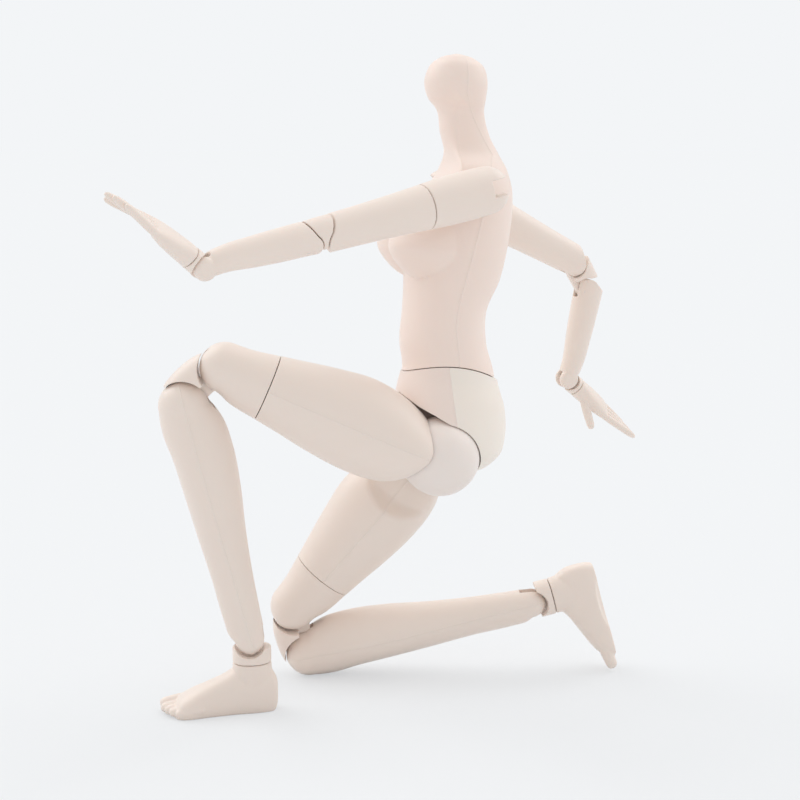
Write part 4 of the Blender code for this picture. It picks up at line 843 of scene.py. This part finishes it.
def make_leg(label, side):
    swing, spread, twist = f"{label}_hip_swing", f"{label}_hip_spread", f"{label}_thigh_twist"
    ball_at = local_frame(spot(swing), x=axis(spread, side), y=axis(swing))
    hip = ball("hip", HIP_BALL_RADIUS, ball_at)
    dress(hip, f"{label}_hip_ball", f"{label}_hip_joint", JOINT, f"{label}_hip_joint")

    thigh_at = local_frame(spot(spread), x=axis(spread, side), z=axis(twist))
    rows = smooth_rows(scaled(THIGH_SHARES, THIGH_LENGTH, THIGH_DEPTHS))
    names = (f"{label}_thigh_shell_front", f"{label}_thigh_shell_back")
    floor = -THIGH_CUT + CUT_GAP / 2
    reach = 2 * THIGH_DEPTHS[0]

    def clear_pelvis(ring):
        """Keep the thigh's inner side off the pelvis near the hip."""
        near = np.hypot(ring[:, 0], ring[:, 2]) - THIGH_CLEAR_RADIUS
        ease = np.clip(near / THIGH_CLEAR_EASE, 0, 1)
        limit = HIP_SPREAD - THIGH_CLEAR_SPREAD + ease ** 2 * (3 - 2 * ease) * THIGH_DEPTHS[2]
        inward = soft_least(-side * ring[:, 1], limit, THIGH_CLEAR_SOFT_SHARE * THIGH_CLEAR_EASE)
        ring = ring.copy()
        ring[:, 1] = np.where(-side * ring[:, 1] > 0, -side * inward, ring[:, 1])
        return ring

    parts = halves(rows, lambda up: THIGH_SEAM, names, shape=clear_pelvis)
    for body, node in zip(parts, ("thigh_front", "thigh_back")):
        body.data.transform(thigh_at)
        cut(body, block("end", (-reach, -reach, 2 * floor), (reach, reach, floor), thigh_at))
        cut(body, ball("cup", HIP_BALL_RADIUS + SOCKET_GAP, thigh_at))
        dress(body, body.name, f"{label}_thigh", LIMB, f"{label}_{node}")

    upper, lower = spot(f"{label}_knee_upper"), spot(f"{label}_knee_lower")
    sleeve_at = local_frame(spot(twist), y=axis(f"{label}_knee_upper"), z=axis(twist))
    knee = THIGH_CUT - THIGH_LENGTH
    rows = scaled(KNEE_SLEEVE_SHARES, THIGH_LENGTH, THIGH_DEPTHS, -1, THIGH_CUT)
    rows += dome_rows(KNEE_RADIUS, KNEE_HALF_WIDTH, knee, False)[::-1]
    sleeve = tube("sleeve", smooth_rows(rows))
    sleeve.data.transform(sleeve_at)
    cut(sleeve, block("end", (-reach, -reach, -CUT_GAP / 2), (reach, reach, reach), sleeve_at))
    wall = KNEE_PLATE[0] + 2 * PLATE_GAP
    cut(sleeve, slot_block(KNEE_PLATE, sleeve_at @ shift(0, 0, knee), False, front=wall))
    softened(sleeve, SMALL_VOXEL, LIMB_ROUNDS)
    dress(sleeve, f"{label}_knee_sleeve_skin", f"{label}_knee_sleeve", LIMB, f"{label}_knee_sleeve")

    knee_at = local_frame(upper, y=axis(f"{label}_knee_upper"), z=(upper - lower).normalized())
    tall = KNEE_CAP_BOTTOM - KNEE_CAP_TOP
    rows = [(-KNEE_CAP_TOP - share * tall, KNEE_CAP_BACK, front * KNEE_CAP[0], wide * KNEE_CAP[1])
            for share, front, wide in KNEE_CAP_SHARES]
    cap = tube("cap", smooth_rows(rows), LIMB_SIDES, KNEE_CAP_SQUARE)
    cap.data.transform(knee_at)
    reach = 2 * KNEE_CAP[0]
    cut(cap, block("inner", (-KNEE_CAP_INNER, -reach, -2 * reach), (reach, reach, reach), knee_at))
    below = knee_at @ shift(0, 0, -KNEE_LINK)
    for place in (knee_at, below):
        cut(cap, rod("seat", KNEE_RADIUS + SOCKET_GAP, -reach, reach, place, "Y", BODY_SIDES))
    join(cap, plate("link", KNEE_PLATE, KNEE_LINK, knee_at))
    softened(cap, SMALL_VOXEL, LIMB_ROUNDS)
    dress(cap, f"{label}_kneecap", f"{label}_knee_joint", LIMB, f"{label}_knee_joint")

    ankle = spot(f"{label}_ankle_bend")
    shin_at = local_frame(lower, y=axis(f"{label}_knee_lower"), z=(lower - ankle).normalized())
    rows = dome_rows(KNEE_RADIUS, KNEE_HALF_WIDTH, 0, True) + scaled(SHIN_SHARES, SHIN_LENGTH, SHIN_DEPTHS)
    rows += dome_rows(ANKLE_RADIUS, ANKLE_HALF_WIDTH, -SHIN_LENGTH, False)[::-1]
    names = (f"{label}_shin_shell_front", f"{label}_shin_shell_back")
    parts = halves(smooth_rows(rows), lambda up: SHIN_SEAM, names)
    for body, node in zip(parts, ("shin_front", "shin_back")):
        body.data.transform(shin_at)
        cut(body, slot_block(KNEE_PLATE, shin_at, True, front=wall))
        cut(body, slot_block(ANKLE_PLATE, shin_at @ shift(0, 0, -SHIN_LENGTH), False))
        dress(body, body.name, f"{label}_shin", LIMB, f"{label}_{node}")

    ankle_at = local_frame(ankle, y=axis(f"{label}_ankle_bend"), z=axis(f"{label}_foot_turn"))
    rows = [(high, *ANKLE_COLLAR) for high in (-ANKLE_SWIVEL + CUT_GAP / 2, -ANKLE_COLLAR_TOP)]
    collar = tube("collar", rows, SMALL_SIDES, ANKLE_COLLAR_SQUARE)
    collar.data.transform(ankle_at)
    cut(collar, rod("seat", ANKLE_RADIUS + SOCKET_GAP, -FOOT_TOE, FOOT_TOE, ankle_at, "Y", BODY_SIDES))
    join(collar, plate("tongue", ANKLE_PLATE, ANKLE_COLLAR_TOP, ankle_at))
    softened(collar, SMALL_VOXEL, COLLAR_ROUNDS)
    dress(collar, f"{label}_ankle_collar", f"{label}_ankle_joint", LIMB, f"{label}_ankle_joint")
    make_foot(label, side, ankle_at @ shift(0, 0, -ANKLE_SWIVEL) @ Matrix.Rotation(FOOT_TURN[label], 4, "Z"))


def make_foot(label, side, place):
    """Heel and instep from one tube, with the ankle's own section, five toes and the arches under it."""
    sole = ANKLE_SWIVEL - FOOT_HEIGHT + SOLE_LIFT
    height = FOOT_HEIGHT - ANKLE_SWIVEL - CUT_GAP / 2
    turns = math.tau * (np.arange(SMALL_SIDES) + 0.5) / SMALL_SIDES
    shape = section((0.0, 1.0, 1.0, 1.0), turns, FOOT_SQUARE)
    rings = []
    for along, top, low, wide in smooth_rows(FOOT_SHARES, FOOT_STEP):
        back = FOOT_HEEL - along * (FOOT_HEEL + FOOT_TOE)
        bottom = sole + (low - FOOT_UNDERCUT_SHARE) * height
        half = (sole + top * height - bottom) / 2
        ups = np.maximum(bottom + half + shape[:, 0] * half, sole)
        rings.append(np.stack([np.full(SMALL_SIDES, back), shape[:, 1] * wide * FOOT_SIDE, ups], 1))
    foot = skin("foot", rings)
    neck = [(-CUT_GAP / 2, *ANKLE_COLLAR)]
    tapered = [taper * part for taper, part in zip(FOOT_NECK_TAPER, ANKLE_COLLAR)]
    neck.append((-FOOT_NECK_SHARE * height, *tapered))
    join(foot, tube("neck", neck, SMALL_SIDES, ANKLE_COLLAR_SQUARE))
    for forward, inward, radius in TOES:
        start = shift(TOE_LENGTH - forward, -side * inward, sole + radius + TOE_LENGTH * math.sin(TOE_DROP))
        join(foot, finger(radius, TOE_LENGTH, start @ Matrix.Rotation(math.pi / 2 - TOE_DROP, 4, "Y")))
    for (back, inward, up), sizes in ARCHES:
        hollow = ball("hollow", 1.0, shift(back, -side * inward, sole + up) @ Matrix.Diagonal((*sizes, 1)))
        cut(foot, hollow)
    softened(foot, FOOT_VOXEL, FOOT_ROUNDS)
    foot.data.transform(place)
    dress(foot, f"{label}_foot_skin", f"{label}_foot", LIMB, f"{label}_foot", angle=SMOOTH_ANGLE)


# Stage, light and camera.

def sun(name, aim, strength, spread, colour=(1, 1, 1)):
    """Even light from one side of the sky."""
    data = bpy.data.lights.new(name, "SUN")
    data.energy = strength
    data.angle = spread
    data.color = colour
    light = bpy.data.objects.new(name, data)
    light.rotation_euler = Vector(aim).to_track_quat("-Z", "Y").to_euler()
    bpy.context.scene.collection.objects.link(light)


def make_stage():
    """A pale seamless floor and surroundings. The floor looks even to the camera and keeps the shadow."""
    points = [(x, y, 0) for x in (-STAGE_REACH, STAGE_REACH) for y in (-STAGE_REACH, STAGE_REACH)]
    floor = mesh_object("floor", points, [(0, 1, 3, 2)])
    paper = bpy.data.materials.new("floor")
    paper.use_nodes = True
    shader = paper.node_tree.nodes["Principled BSDF"]
    shader.inputs["Base Color"].default_value = (*FLOOR_COLOUR, 1)
    shader.inputs["Roughness"].default_value = 1.0
    shader.inputs["Specular IOR Level"].default_value = 0.0
    nodes, links = paper.node_tree.nodes, paper.node_tree.links
    glow = nodes.new("ShaderNodeEmission")
    glow.inputs["Color"].default_value = (*BACKDROP_COLOUR, 1)
    path = nodes.new("ShaderNodeLightPath")
    share = nodes.new("ShaderNodeMath")
    share.operation = "MULTIPLY"
    share.inputs[1].default_value = FLOOR_GLOW_SHARE
    choose = nodes.new("ShaderNodeMixShader")
    links.new(path.outputs["Is Camera Ray"], share.inputs[0])
    links.new(share.outputs["Value"], choose.inputs["Fac"])
    links.new(shader.outputs["BSDF"], choose.inputs[1])
    links.new(glow.outputs["Emission"], choose.inputs[2])
    links.new(choose.outputs["Shader"], nodes["Material Output"].inputs["Surface"])
    floor.data.materials.append(paper)
    world = bpy.data.worlds.new("world")
    world.use_nodes = True
    nodes, links = world.node_tree.nodes, world.node_tree.links
    lit = nodes["Background"]
    lit.inputs["Color"].default_value = (*SKY_COLOUR, 1)
    lit.inputs["Strength"].default_value = SKY_STRENGTH
    seen = nodes.new("ShaderNodeBackground")
    seen.inputs["Color"].default_value = (*BACKDROP_COLOUR, 1)
    path = nodes.new("ShaderNodeLightPath")
    choose = nodes.new("ShaderNodeMixShader")
    links.new(path.outputs["Is Camera Ray"], choose.inputs["Fac"])
    links.new(lit.outputs["Background"], choose.inputs[1])
    links.new(seen.outputs["Background"], choose.inputs[2])
    links.new(choose.outputs["Shader"], nodes["World Output"].inputs["Surface"])
    bpy.context.scene.world = world
    for name, aim, strength, spread, colour in LAMPS:
        sun(name, aim, strength, spread, colour)
    bpy.context.scene.view_settings.view_transform = "Standard"


def make_camera():
    data = bpy.data.cameras.new("camera")
    data.lens = CAMERA_LENS
    data.sensor_width = CAMERA_SENSOR
    data.clip_start = CAMERA_CLIP
    camera = bpy.data.objects.new("camera", data)
    camera.location = CAMERA_PLACE
    camera.rotation_euler = (math.pi / 2 - CAMERA_PITCH, 0, 0)
    bpy.context.scene.collection.objects.link(camera)
    bpy.context.scene.camera = camera


make_camera()
make_pelvis()
make_torso()
for label, side in SIDES:
    make_arm(label, side)
    make_leg(label, side)
for row in frame["record"]["subparts"]:
    node = frame["nodes"][row["node"]]
    node.data.materials.clear()
    node.data.materials.append(LOOKS[row["material_slot"]])
make_stage()
